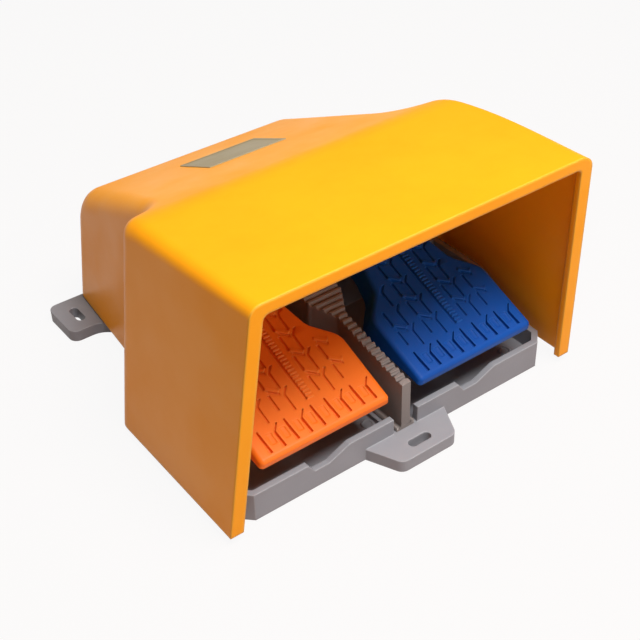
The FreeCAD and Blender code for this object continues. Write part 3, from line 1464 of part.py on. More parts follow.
def gland():
    z = S.gland_height
    seal_end = rear_wall_y + S.gland_seal
    hex_end = seal_end + S.gland_hex_length
    nut_start = rear_wall_y - S.wall_thick - S.gland_nut_thick
    cap_start = hex_end + S.clear_gap
    bore = S.gland_thread_radius + S.running_gap
    thread = rod("gland_thread", S.gland_thread_radius, cap_start + S.gland_cap_length - S.gland_cap_lip - nut_start,
                 0, nut_start - S.gland_cap_lip / 2, z, "y")
    barrel = fused("gland_solid", [thread, hexagon("gland_collar", S.gland_hex, S.gland_hex_length, seal_end)])
    hollow = rod("cable_bore", S.cable_radius, S.base_length, 0, 0, z, "y")
    seal = turned("gland_seal", "y", (0, rear_wall_y, z), [
        (0, bore), (0, S.gland_hex / 2), (S.gland_seal, S.gland_hex / 2), (S.gland_seal, bore)])
    locknut = cut("gland_locknut", hexagon("locknut_solid", S.gland_hex, S.gland_nut_thick, nut_start),
                  rod("locknut_bore", bore, S.gland_nut_thick * 3, 0, nut_start - S.gland_nut_thick, z, "y"))
    grip = S.gland_cap_length / 2
    shoulder = S.gland_hex / 2
    cap_dome = turned("cap_dome", "y", (0, cap_start, z), [
        (0, 0), (0, shoulder), (S.gland_cap_length - S.gland_cap_lip, shoulder - S.clear_gap),
        (S.gland_cap_length, S.cable_radius + S.gland_cap_lip), (S.gland_cap_length, 0)])
    cap_bore = turned("cap_bore", "y", (0, cap_start, z), [
        (-S.clear_gap, 0), (-S.clear_gap, bore), (S.gland_cap_length - S.gland_cap_lip + S.clear_gap, bore),
        (S.gland_cap_length - S.gland_cap_lip + S.clear_gap, S.cable_radius),
        (S.gland_cap_length + S.clear_gap, S.cable_radius), (S.gland_cap_length + S.clear_gap, 0)])
    cap = cut("gland_cap_nut", fused("cap_solid", [hexagon("cap_grip", S.gland_hex, grip, cap_start), cap_dome]),
              cap_bore)
    return [cut("gland_body", barrel, hollow), seal, locknut, cap]


def name_plate():
    return on_roof("name_plate", measure(0), S.plate_thick, S.plate_thick / 2)


nodes = [base_tray(), divider(), hood(), name_plate(), clips(), bumpers()]
for side in SIDES:
    nodes += [pedal(side), axle(side), bushes(side), return_spring(side), switch_housing(side),
              switch_cover(side), plunger(side), contact_bridge(side), fixed_contacts(side),
              plunger_spring(side)]
nodes += small_screws() + gland()
doc.recompute()

for thing in doc.Objects:
    if "Invalid" in thing.State or "Error" in thing.State:
        raise RuntimeError("%s has state %s" % (thing.Label, thing.State))
os.makedirs("parts", exist_ok=True)
for node in nodes:
    shape = node.Shape
    if shape.isNull() or not shape.isValid() or not shape.Solids:
        raise RuntimeError("%s has no valid solid" % node.Label)
    shape.exportStep("parts/%s.step" % node.Label)
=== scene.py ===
"""Double industrial foot switch: finishes, tread detail, camera and light.

The sizes of pieces are in millimetres and become metres through MM. The
floor, lamps and camera are given in metres. The frame has X to the right, Y
to the rear and Z up, with its origin at the centre of the base's underside.
"""
import math

import bpy
from mathutils import Matrix, Vector


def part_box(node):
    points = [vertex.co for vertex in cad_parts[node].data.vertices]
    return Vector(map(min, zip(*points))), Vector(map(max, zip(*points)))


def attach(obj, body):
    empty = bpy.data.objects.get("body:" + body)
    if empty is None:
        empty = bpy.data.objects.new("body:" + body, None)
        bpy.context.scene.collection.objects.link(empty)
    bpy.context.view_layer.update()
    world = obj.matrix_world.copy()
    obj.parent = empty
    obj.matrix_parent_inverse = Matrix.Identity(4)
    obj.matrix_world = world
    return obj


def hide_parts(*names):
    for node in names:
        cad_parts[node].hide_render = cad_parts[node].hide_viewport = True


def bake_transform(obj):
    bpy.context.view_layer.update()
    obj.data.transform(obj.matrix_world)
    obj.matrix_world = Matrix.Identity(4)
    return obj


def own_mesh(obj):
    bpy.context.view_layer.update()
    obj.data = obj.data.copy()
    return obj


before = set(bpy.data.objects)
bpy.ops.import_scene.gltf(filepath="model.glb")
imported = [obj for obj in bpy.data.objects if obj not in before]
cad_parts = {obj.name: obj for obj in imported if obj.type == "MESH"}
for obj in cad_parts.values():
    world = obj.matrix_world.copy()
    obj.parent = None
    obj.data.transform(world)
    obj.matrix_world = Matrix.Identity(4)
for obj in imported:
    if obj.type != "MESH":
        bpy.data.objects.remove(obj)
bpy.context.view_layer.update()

MM = 0.001
QUARTER_TURN = math.radians(90)
FULL_TURN = 360              # in degrees, for the steps along a coil
WHITE = (1.0, 1.0, 1.0, 1.0)

# ---------------------------------------------------------------- pedals
PEDAL_CENTRE = 55.6          # sideways distance of each pedal's middle line
AXLE_Y = 8.0                 # rearward place of the pedal hinge
AXLE_Z = 72.0                # height of the pedal hinge
PEDAL_SLOPE = 21.5           # fall of the tread towards the front, in degrees
PEDAL_REACH = 131.2          # from the hinge to the front edge, along the tread
TREAD_LEVEL = 14.8           # height of the tread's top face over the hinge
SIDE_BORDER = 5.0            # plain rim along the pedal's sides
SIDE_GRACE = 1.0             # how far the pattern may run into that rim
# half of the pedal's width at distances back from its front edge
HALF_WIDTHS = ((0, 44), (49, 44), (64, 30), (81, 26), (110, 26), (114, 19), (200, 19))

# ---------------------------------------------------------------- tread pattern
# Paths are in the tread's plane: across the pedal, then back from its front.
CUTTER_OVER = 1.0            # how far a cutter stands out of the tread
LEAD_SHARE = 0.1             # start of a run ahead of its path, as a share of width
PATTERN_END = 104.0

SLOT_WIDTH = 3.1
SLOT_DEPTH = 2.3
SLOT_NARROWING = (0.58, 0.6)
STRAIGHT_SLOT_PATH = ((0, 3.6), (0, 12), (0, 18))
BENT_SLOT_PATH = ((0, 3.6), (0, 13.5), (4.2, 18))
FRONT_SLOTS = (-36.0, -27.0, -18.0, -9.0, 0.0, 9.5, 18.0, 27.5, 36.0)
BENT_FRONT_SLOTS = (1, 3, 6, 8)

BAY_WIDTH = 4.2
BAY_DEPTH = 0.8
BAY_PATH = ((0, 7.2), (0, 14.4))
BAY_ROUND = 0.9
BAY_ASIDE = 5.0              # from a front slot to the bay beside it

GROOVE_WIDTH = 1.9
GROOVE_DEPTH = 1.3
GROOVE_ROUND = 0.35
STRAIGHT_LENGTH = 10.5
STRAIGHT_COLUMNS = (-36.0, -17.5, 10.0, 27.0)
STRAIGHT_START = 23.5
STRAIGHT_PITCH = 15.0
BENT_KNEE = 11.0             # where a bent groove turns aside
BENT_REACH = 4.0
BENT_LENGTH = 15.3
BENT_COLUMNS = (-27.0, -9.0, 18.0, 36.0)
BENT_START = 19.5
BENT_PITCH = 15.3
SPINE_PATH = ((0.2, 22.0), (0.2, PATTERN_END))

FURROW_DEPTH = 0.9           # depth of the furrow in front of each hook
FURROW_PATH = ((1.0, 1.4), (6.6, -2.8))
BAR_WIDTH = 2.0
BAR_HEIGHT = 1.0
BAR_SINK = 0.5               # how deep a raised bar is set into the tread
BAR_ROUND_STEPS = 3
HOOK_PATH = ((0.5, 3.9), (6.4, -0.7), (8.2, 0.6))
HOOK_ROUND = 0.55
HOOK_BEHIND = 10.9           # from the front of a straight groove to its hook
HOOK_LENGTH = 4.0
HOOK_REACH = 8.0
RUNG_PATH = ((0, 0), (4.2, 0))
RUNG_WIDTH = 1.3
RUNG_HEIGHT = 0.7
RUNG_ROUND = 0.35
LADDER_ASIDE = 1.4
LADDER_START = 22.5
LADDER_PITCH = 2.5

# ---------------------------------------------------------------- divider and plate
DIVIDER_FRONT = -120.0       # front end of the divider
DIVIDER_TOP = 41.8           # height of its top edge there
DIVIDER_SLOPE = 13.5         # rise of its top edge to the rear, in degrees
TOOTH_PITCH = 4.4
DIP_COUNT = 21
DIP_RADIUS = 1.6
DIP_DEPTH = 1.3
DIP_LENGTH = 30.0
DIP_SIDES = 20
PLATE_BORDER = 1.8
PLATE_STEP = 0.35
PLATE_ROUND = 0.2

# ---------------------------------------------------------------- springs
SPRING_SIDE = 6.0            # the return spring's place beside the pedal's middle
SPRING_RADIUS = 9.5
SPRING_WIRE = 1.0
SPRING_PITCH = 2.3
SPRING_TURNS = 4
SPRING_STEP = 12             # degrees between two points of a coil
SPRING_LEG_UP = 26.0
SPRING_LEG_DOWN = 32.0
SPRING_KNEE = 2.0            # straight wire between the rear leg and the coil
SPRING_LEAD_STEPS = 8        # points on the last part turn, before the front leg
SPRING_END = 90 + PEDAL_SLOPE           # where the wire turns to lie along the tread
COIL_WIRE = 0.5
COIL_TURNS = 6
WIRE_ROUND_STEPS = 3

# ---------------------------------------------------------------- mesh care
MERGE_DISTANCE = 0.002
SMOOTH_BELOW = 30            # degrees between faces that shade as one
WIRE_SMOOTH_BELOW = 50
ROUND_ABOVE = 50             # degrees between faces whose edge is rounded
ROUND_STEPS = 2
FLAT_WITHIN = 2              # degrees between faces that count as one plane

# ---------------------------------------------------------------- finish values
GRAIN_DRIFT = 22.0           # scale of the slow drift of tone
GRAIN_DRIFT_SHARE = 0.5      # how far that drift moves the colour to its shade
ROUGH_SWING = 0.12
SPECK_SHARE = 0.15
DUST_COLOUR = (196, 190, 180)
DUST_ROUGHNESS = 0.5
BUMP_STRENGTH = 0.6
EDGE_SAMPLES = 6
PLASTIC_IOR = 1.5

# ---------------------------------------------------------------- room, in metres
FLOOR_SIZE = 6.0
FLOOR_LEVEL = -0.0002        # just under the base, so that the two never share a plane
FLOOR_TINT = (0.46, 0.36, 0.32, 1.0)     # what the floor throws back
FLOOR_GLOW = 0.92            # how far the floor shows white to the camera
WORLD_TINT = (1.0, 0.80, 0.68, 1.0)      # warm light from all sides
WORLD_STRENGTH = 0.26
CAMERA_PLACE = (-0.3407, -0.51235, 0.4831)
CAMERA_TURN = -35.67         # degrees round the vertical
CAMERA_DOWN = 37.28
CAMERA_ROLL = -1.86
CAMERA_LENS = 67.17
CAMERA_SENSOR = 36.0
CAMERA_NEAR = 0.01
CAMERA_FAR = 20.0


# ---------------------------------------------------------------- working tools
def select_none():
    """Leave nothing selected, outside edit mode."""
    if bpy.context.object and bpy.context.object.mode != "OBJECT":
        bpy.ops.object.mode_set(mode="OBJECT")
    bpy.ops.object.select_all(action="DESELECT")


def select_only(*pieces):
    """Leave just these pieces selected, the first one active."""
    select_none()
    for piece in pieces:
        piece.hide_set(False)
        piece.select_set(True)
    bpy.context.view_layer.objects.active = pieces[0]


def settle(piece):
    """Put the piece's place, turn and size into its mesh."""
    select_only(piece)
    bpy.ops.object.transform_apply(location=True, rotation=True, scale=True)


def placed_in_scene(name, data):
    """A new object for a mesh, curve, lamp or camera."""
    piece = bpy.data.objects.new(name, data)
    bpy.context.scene.collection.objects.link(piece)
    return piece


def joined(pieces, name):
    """Make one piece of several."""
    select_only(*pieces)
    if len(pieces) > 1:
        bpy.ops.object.join()
    whole = bpy.context.object
    whole.name = name
    whole.data.name = name
    return whole


def copied(piece, across, back, up=0.0):
    """Another of the piece, moved by millimetres."""
    select_only(piece)
    bpy.ops.object.duplicate(linked=False)
    twin = bpy.context.object
    twin.data.transform(Matrix.Translation(Vector((across, back, up)) * MM))
    return twin


def tidy_shell(piece):
    """Merge doubled points and turn all faces outwards."""
    select_only(piece)
    bpy.ops.object.mode_set(mode="EDIT")
    bpy.ops.mesh.select_all(action="SELECT")
    bpy.ops.mesh.remove_doubles(threshold=MERGE_DISTANCE * MM)
    bpy.ops.mesh.normals_make_consistent(inside=False)
    bpy.ops.object.mode_set(mode="OBJECT")


def smooth(piece, degrees=SMOOTH_BELOW):
    """Shade curved faces smooth and keep large flat faces flat."""
    select_only(piece)
    bpy.ops.object.shade_smooth_by_angle(angle=math.radians(degrees))
    even = piece.modifiers.new("flat faces first", "WEIGHTED_NORMAL")
    even.keep_sharp = True
    bpy.ops.object.modifier_apply(modifier=even.name)


def soften(piece, width, segments=ROUND_STEPS):
    """Round the piece's edges with a bevel that is applied."""
    select_only(piece)
    bevel = piece.modifiers.new("edge round", "BEVEL")
    bevel.width = width * MM
    bevel.segments = segments
    bevel.limit_method = "ANGLE"
    bevel.angle_limit = math.radians(ROUND_ABOVE)
    bpy.ops.object.modifier_apply(modifier=bevel.name)
    return piece


def carve(piece, tool):
    """Cut the tool out of the piece, and take the tool away."""
    select_only(piece)
    cut = piece.modifiers.new("carving", "BOOLEAN")
    cut.operation = "DIFFERENCE"
    cut.solver = "EXACT"
    cut.object = tool
    bpy.ops.object.modifier_apply(modifier=cut.name)
    bpy.data.objects.remove(tool)


def copy_of_node(node, name):
    """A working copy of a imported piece, to be shaped further."""
    piece = placed_in_scene(name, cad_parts[node].data.copy())
    tidy_shell(piece)
    return piece


def stand_in(piece, node, slot, finish):
    """Let a shaped piece stand for a packed one, in its own finish."""
    piece.data.materials.clear()
    piece.data.materials.append(finish)
    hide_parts(node)


# ---------------------------------------------------------------- grooves and bars
def run_of_section(path, width, low, high, name, narrowing=None):
    """A bar of rectangular section that follows a flat path of points.

    Its first end is a plane, which is extruded from point to point, and
    made narrower on the way by the shares in narrowing.
    """
    first, second = Vector(path[0]), Vector(path[1])
    along = (second - first).normalized()
    start = first - along * (width * LEAD_SHARE)
    select_none()
    bpy.ops.mesh.primitive_plane_add(
        size=1.0,
        location=(start.x * MM, start.y * MM, (low + high) / 2 * MM),
    )
    piece = bpy.context.object
    piece.name = name
    # the plane stands upright, facing along the path
    turn = math.atan2(along.y, along.x)
    upright = Matrix.Rotation(turn, 4, "Z") @ Matrix.Rotation(QUARTER_TURN, 4, "Y")
    size = Matrix.Diagonal(((high - low) * MM, width * MM, 1.0, 1.0))
    piece.data.transform(upright @ size)
    settle(piece)
    bpy.ops.object.mode_set(mode="EDIT")
    bpy.ops.mesh.select_all(action="SELECT")
    spots = [start] + [Vector(p) for p in path[1:]]
    for number in range(1, len(spots)):
        step = spots[number] - spots[number - 1]
        bpy.ops.mesh.extrude_region_move(
            TRANSFORM_OT_translate={"value": (step.x * MM, step.y * MM, 0.0)}
        )
        if narrowing:
            bpy.ops.transform.resize(
                value=(narrowing[number - 1], 1.0, 1.0),
                center_override=(spots[number].x * MM, spots[number].y * MM, 0.0),
            )
    bpy.ops.mesh.select_all(action="SELECT")
    bpy.ops.mesh.normals_make_consistent(inside=False)
    bpy.ops.object.mode_set(mode="OBJECT")
    return piece


def half_width(back):
    """Half of the pedal's width at a distance back from its front edge."""
    for (from_back, from_half), (to_back, to_half) in zip(HALF_WIDTHS, HALF_WIDTHS[1:]):
        if back <= to_back:
            share = (back - from_back) / (to_back - from_back)
            return from_half + share * (to_half - from_half)
    return HALF_WIDTHS[-1][1]


def inside(across, back):
    """True where a point of the pattern lies within the pedal's plain rim."""
    return abs(across) + SIDE_BORDER < half_width(back) + SIDE_GRACE


def hook_fits(across, back):
    """True where a raised hook has room on the tread."""
    return (
        back + HOOK_LENGTH < PATTERN_END
        and inside(across, back + HOOK_LENGTH)
        and inside(across + HOOK_REACH, back + HOOK_LENGTH / 2)
    )


def straight_places():
    """The front ends of the straight grooves that fit on the tread."""
    for across in STRAIGHT_COLUMNS:
        back = STRAIGHT_START
        while back + STRAIGHT_LENGTH < PATTERN_END:
            if inside(across, back + STRAIGHT_LENGTH):
                yield across, back
            back += STRAIGHT_PITCH


def bent_places():
    """The front ends of the bent grooves that fit on the tread."""
    for across in BENT_COLUMNS:
        back = BENT_START
        while back + BENT_LENGTH < PATTERN_END:
            if inside(across, back + BENT_KNEE) and inside(
                across + BENT_REACH, back + BENT_LENGTH
            ):
                yield across, back
            back += BENT_PITCH


def tread_cutter():
    """All grooves of one tread, in the tread's own plane.

    Across is X and back from the front edge is Y, with the tread's top face
    at height zero. Each groove is shaped once and copied to its places.
    """
    deep = (-SLOT_DEPTH, CUTTER_OVER)
    shallow = (-GROOVE_DEPTH, CUTTER_OVER)
    straight_slot = run_of_section(
        STRAIGHT_SLOT_PATH, SLOT_WIDTH, *deep, "slot", SLOT_NARROWING
    )
    bent_slot = run_of_section(
        BENT_SLOT_PATH, SLOT_WIDTH, *deep, "bent slot", SLOT_NARROWING
    )
    bay = run_of_section(BAY_PATH, BAY_WIDTH, -BAY_DEPTH, CUTTER_OVER, "bay")
    furrow = run_of_section(
        FURROW_PATH, GROOVE_WIDTH, -FURROW_DEPTH, CUTTER_OVER, "furrow"
    )
    straight = run_of_section(
        ((0, 0), (0, STRAIGHT_LENGTH)), GROOVE_WIDTH, *shallow, "groove"
    )
    bent = run_of_section(
        ((0, 0), (0, BENT_KNEE), (BENT_REACH, BENT_LENGTH)),
        GROOVE_WIDTH, *shallow, "bent groove",
    )
    for piece in (straight_slot, bent_slot, furrow, straight, bent):
        soften(piece, GROOVE_ROUND)
    soften(bay, BAY_ROUND)

    cuts = []
    for number, across in enumerate(FRONT_SLOTS):
        model = bent_slot if number in BENT_FRONT_SLOTS else straight_slot
        cuts.append(copied(model, across, 0))
        if number < len(FRONT_SLOTS) - 1:
            cuts.append(copied(bay, across + BAY_ASIDE, 0))
    for across, back in bent_places():
        cuts.append(copied(bent, across, back))
    for across, back in straight_places():
        cuts.append(copied(straight, across, back))
        if hook_fits(across, back + HOOK_BEHIND):
            cuts.append(copied(furrow, across, back + HOOK_BEHIND))
    spine = run_of_section(SPINE_PATH, GROOVE_WIDTH, *shallow, "spine")
    cuts.append(soften(spine, GROOVE_ROUND))
    for model in (straight_slot, bent_slot, bay, furrow, straight, bent):
        bpy.data.objects.remove(model)
    return joined(cuts, "tread cutter")


def tread_bars():
    """All raised bars of one tread, in the same plane as the grooves."""
    rung = run_of_section(RUNG_PATH, RUNG_WIDTH, -BAR_SINK, RUNG_HEIGHT, "rung")
    hook = run_of_section(HOOK_PATH, BAR_WIDTH, -BAR_SINK, BAR_HEIGHT, "hook")
    soften(rung, RUNG_ROUND, BAR_ROUND_STEPS)
    soften(hook, HOOK_ROUND, BAR_ROUND_STEPS)
    bars = []
    back = LADDER_START
    while back < PATTERN_END:
        bars.append(copied(rung, LADDER_ASIDE, back))
        back += LADDER_PITCH
    for across, back in straight_places():
        if hook_fits(across, back + HOOK_BEHIND):
            bars.append(copied(hook, across, back + HOOK_BEHIND))
    for model in (rung, hook):
        bpy.data.objects.remove(model)
    return joined(bars, "tread bars")


def tread_place(side):
    """The turn and shift from a tread's own plane to its place at rest."""
    hinge = Matrix.Translation(Vector((side * PEDAL_CENTRE, AXLE_Y, AXLE_Z)) * MM)
    tilt = Matrix.Rotation(math.radians(PEDAL_SLOPE), 4, "X")
    front = Matrix.Translation(Vector((0.0, -PEDAL_REACH, TREAD_LEVEL)) * MM)
    return hinge @ tilt @ front


def pedal_with_tread(side, word, cutter, bars, slot, finish):
    """The pedal with its pressed tread, in place of the plain one."""
    name = "pedal_tread_" + word
    pedal = copy_of_node("pedal_" + word, name)
    tool = placed_in_scene("tool", cutter.data.copy())
    tool.data.transform(tread_place(side))
    carve(pedal, tool)
    raised = placed_in_scene("raised", bars.data.copy())
    raised.data.transform(tread_place(side))
    pedal = joined([pedal, raised], name)
    smooth(pedal)
    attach(pedal, word + "_pedal")
    stand_in(pedal, "pedal_" + word, slot, finish)


# ---------------------------------------------------------------- divider and plate
def scalloped_divider(finish):
    """The divider with rounded dips between its teeth, in place of the plain one."""
    wall = copy_of_node("pedal_divider", "divider_scalloped")
    select_none()
    bpy.ops.mesh.primitive_cylinder_add(
        vertices=DIP_SIDES, radius=DIP_RADIUS * MM, depth=DIP_LENGTH * MM,
        rotation=(0.0, QUARTER_TURN, 0.0),
    )
    dip = bpy.context.object
    settle(dip)
    rise = math.tan(math.radians(DIVIDER_SLOPE))
    dips = []
    for number in range(1, DIP_COUNT + 1):
        along = number * TOOTH_PITCH
        height = DIVIDER_TOP + rise * along + DIP_RADIUS - DIP_DEPTH
        dips.append(copied(dip, 0.0, DIVIDER_FRONT + along, height))
    bpy.data.objects.remove(dip)
    carve(wall, joined(dips, "dips"))
    smooth(wall)
    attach(wall, "frame")
    stand_in(wall, "pedal_divider", "grey_plastic", finish)


def bordered_plate(finish):
    """The blank plate on the rear slope, with a raised border, for the plain one."""
    plate = copy_of_node("name_plate", "plate_bordered")
    bpy.ops.object.mode_set(mode="EDIT")
    bpy.ops.mesh.select_all(action="SELECT")
    bpy.ops.mesh.dissolve_limited(angle_limit=math.radians(FLAT_WITHIN))
    bpy.ops.mesh.select_all(action="DESELECT")
    bpy.ops.object.mode_set(mode="OBJECT")
    top = max(plate.data.polygons, key=lambda face: face.normal.z * face.area)
    for face in plate.data.polygons:
        face.select = face.index == top.index
    bpy.ops.object.mode_set(mode="EDIT")
    bpy.ops.mesh.select_mode(type="FACE")
    bpy.ops.mesh.inset(thickness=PLATE_BORDER * MM)
    bpy.ops.mesh.inset(thickness=PLATE_STEP * MM, depth=-PLATE_STEP * MM)
    bpy.ops.object.mode_set(mode="OBJECT")
    soften(plate, PLATE_ROUND)
    smooth(plate)
    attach(plate, "frame")
    stand_in(plate, "name_plate", "plate", finish)


# ---------------------------------------------------------------- springs
def wire_along(points, radius, name):
    """A round wire through points in metres, as a closed mesh."""
    line = bpy.data.curves.new(name, "CURVE")
    line.dimensions = "3D"
    line.bevel_depth = radius * MM
    line.bevel_resolution = WIRE_ROUND_STEPS
    line.use_fill_caps = True
    run = line.splines.new("POLY")
    run.points.add(len(points) - 1)
    for spot, place in zip(run.points, points):
        spot.co = (*place, 1.0)
    select_only(placed_in_scene(name, line))
    bpy.ops.object.convert(target="MESH")
    wire = bpy.context.object
    tidy_shell(wire)
    smooth(wire, WIRE_SMOOTH_BELOW)
    return wire


def return_spring(side, word, finish):
    """One torsion spring: leg down at the rear, coil round the hub, leg forward.

    Its coil lies between the frame and the pedal, as a fixed wire that does not wind.
    """
    advance = SPRING_PITCH * SPRING_TURNS
    far = side * (PEDAL_CENTRE + SPRING_SIDE + advance / 2)
    near = far - side * advance

    def on_coil(across, degrees):
        angle = math.radians(degrees)
        return Vector((
            across,
            AXLE_Y + SPRING_RADIUS * math.cos(angle),
            AXLE_Z + SPRING_RADIUS * math.sin(angle),
        )) * MM

    foot = on_coil(far, 0)
    points = [
        foot - Vector((0, 0, SPRING_LEG_DOWN * MM)),
        foot - Vector((0, 0, SPRING_KNEE * MM)),
    ]
    for degrees in range(0, SPRING_TURNS * FULL_TURN + 1, SPRING_STEP):
        points.append(on_coil(far - side * SPRING_PITCH * degrees / FULL_TURN, degrees))
    for number in range(1, SPRING_LEAD_STEPS + 1):
        points.append(on_coil(near, SPRING_END * number / SPRING_LEAD_STEPS))
    slope = math.radians(PEDAL_SLOPE)
    ahead = Vector((0, -math.cos(slope), -math.sin(slope)))
    points.append(points[-1] + ahead * SPRING_LEG_UP * MM)
    spring = wire_along(points, SPRING_WIRE, "return_spring_wire_" + word)
    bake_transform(spring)
    stand_in(spring, "return_spring_" + word, "spring_steel", finish)


def plunger_spring(word, finish):
    """The small coil behind a plunger, as a fixed wire that does not shorten."""
    low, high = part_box("plunger_spring_" + word)
    wire = COIL_WIRE * MM
    middle = (low + high) / 2
    ring = (high.x - low.x) / 2 - wire
    start, length = low.y + wire, high.y - low.y - 2 * wire
    whole = COIL_TURNS * FULL_TURN
    points = []
    for degrees in range(0, whole + 1, SPRING_STEP):
        angle = math.radians(degrees)
        points.append((
            middle.x + ring * math.cos(angle),
            start + length * degrees / whole,
            middle.z + ring * math.sin(angle),
        ))
    spring = wire_along(points, COIL_WIRE, "plunger_spring_wire_" + word)
    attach(spring, "frame")
    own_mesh(spring)
    stand_in(spring, "plunger_spring_" + word, "spring_steel", finish)


# ---------------------------------------------------------------- shader groups
def linear(red, green, blue):
    """A colour as the eye reads it, from 0 to 255, as the shader wants it."""
    def one(value):
        value /= 255.0
        return value / 12.92 if value <= 0.04045 else ((value + 0.055) / 1.055) ** 2.4
    return (one(red), one(green), one(blue), 1.0)


def new_group(name, inputs, outputs):
    """A shader group with named inputs and outputs, and its two end nodes."""
    group = bpy.data.node_groups.new(name, "ShaderNodeTree")
    for label, kind, value in inputs:
        socket = group.interface.new_socket(label, in_out="INPUT", socket_type=kind)
        if value is not None:
            socket.default_value = value
    for label, kind in outputs:
        group.interface.new_socket(label, in_out="OUTPUT", socket_type=kind)
    entry = group.nodes.new("NodeGroupInput")
    leave = group.nodes.new("NodeGroupOutput")
    return group, entry, leave


def maths(tree, operation, first, second, clamp=False):
    """One step of arithmetic on numbers or sockets."""
    node = tree.nodes.new("ShaderNodeMath")
    node.operation = operation
    node.use_clamp = clamp
    for socket, value in zip(node.inputs, (first, second)):
        if isinstance(value, (int, float)):
            socket.default_value = value
        else:
            tree.links.new(value, socket)
    return node.outputs[0]


def blended(tree, share, first, second):
    """Mix two colours by a share from 0 to 1."""
    node = tree.nodes.new("ShaderNodeMix")
    node.data_type = "RGBA"
    share_in, first_in, second_in = node.inputs[0], node.inputs[6], node.inputs[7]
    for socket, value in ((share_in, share), (first_in, first), (second_in, second)):
        if isinstance(value, bpy.types.NodeSocket):
            tree.links.new(value, socket)
        else:
            socket.default_value = value
    return node.outputs[2]


def noise(tree, vector, scale, detail, roughness=0.5):
    """A noise over the object, its scale read from a socket."""
    texture = tree.nodes.new("ShaderNodeTexNoise")
    texture.inputs["Detail"].default_value = detail
    texture.inputs["Roughness"].default_value = roughness
    tree.links.new(vector, texture.inputs["Vector"])
    tree.links.new(scale, texture.inputs["Scale"])
    return texture.outputs[0]


def beyond(tree, value, floor, gain):
    """How far a value rises above a floor, magnified and kept from 0 to 1."""
    risen = maths(tree, "SUBTRACT", value, floor)
    return maths(tree, "MULTIPLY", risen, gain, clamp=True)


def make_grain_group():
    """Fine moulded or cast texture, and slow drifts of tone."""
    group, entry, leave = new_group(
        "surface grain",
        (
            ("Vector", "NodeSocketVector", None),
            ("Fineness", "NodeSocketFloat", 900.0),
            ("Drift", "NodeSocketFloat", GRAIN_DRIFT),
        ),
        (
            ("Height", "NodeSocketFloat"),
            ("Tone", "NodeSocketFloat"),
            ("Speck", "NodeSocketFloat"),
        ),
    )
    vector = entry.outputs["Vector"]
    fine = noise(group, vector, entry.outputs["Fineness"], detail=3.0, roughness=0.55)
    slow = noise(group, vector, entry.outputs["Drift"], detail=5.0, roughness=0.6)
    tone = beyond(group, slow, floor=0.35, gain=3.0)
    speck = beyond(group, fine, floor=0.62, gain=9.0)
    for value, label in ((fine, "Height"), (tone, "Tone"), (speck, "Speck")):
        group.links.new(value, leave.inputs[label])
    return group


def make_edge_group():
    """Rounded edges for the light, and a mask of where edges are."""
    group, entry, leave = new_group(
        "soft edges",
        (("Radius", "NodeSocketFloat", 0.0006), ("Spread", "NodeSocketFloat", 6.0)),
        (("Normal", "NodeSocketVector"), ("Edge", "NodeSocketFloat")),
    )
    bevel = group.nodes.new("ShaderNodeBevel")
    bevel.samples = EDGE_SAMPLES
    group.links.new(entry.outputs["Radius"], bevel.inputs["Radius"])
    shape = group.nodes.new("ShaderNodeNewGeometry")
    agree = group.nodes.new("ShaderNodeVectorMath")
    agree.operation = "DOT_PRODUCT"
    group.links.new(bevel.outputs[0], agree.inputs[0])
    group.links.new(shape.outputs["Normal"], agree.inputs[1])
    turned = maths(group, "SUBTRACT", 1.0, agree.outputs["Value"])
    edge = maths(group, "MULTIPLY", turned, entry.outputs["Spread"], clamp=True)
    group.links.new(bevel.outputs[0], leave.inputs["Normal"])
    group.links.new(edge, leave.inputs["Edge"])
    return group


def make_dust_group():
    """Thin dust on faces that look up, broken up by a noise."""
    group, entry, leave = new_group(
        "settled dust",
        (
            ("Vector", "NodeSocketVector", None),
            ("Amount", "NodeSocketFloat", 0.1),
            ("Patches", "NodeSocketFloat", 60.0),
        ),
        (("Dust", "NodeSocketFloat"),),
    )
    shape = group.nodes.new("ShaderNodeNewGeometry")
    split = group.nodes.new("ShaderNodeSeparateXYZ")
    group.links.new(shape.outputs["Normal"], split.inputs[0])
    upward = maths(group, "MAXIMUM", split.outputs["Z"], 0.0)
    facing = maths(group, "POWER", upward, 2.0)
    patches = noise(group, entry.outputs["Vector"], entry.outputs["Patches"], detail=6.0)
    cover = maths(group, "MULTIPLY", facing, patches)
    dust = maths(group, "MULTIPLY", cover, entry.outputs["Amount"], clamp=True)
    group.links.new(dust, leave.inputs["Dust"])
    return group


def placed_group(tree, group, **values):
    """A shader group in a material, with this material's own values."""
    node = tree.nodes.new("ShaderNodeGroup")
    node.node_tree = group
    for label, value in values.items():
        node.inputs[label].default_value = value
    return node


grain_group = make_grain_group()
edge_group = make_edge_group()
dust_group = make_dust_group()


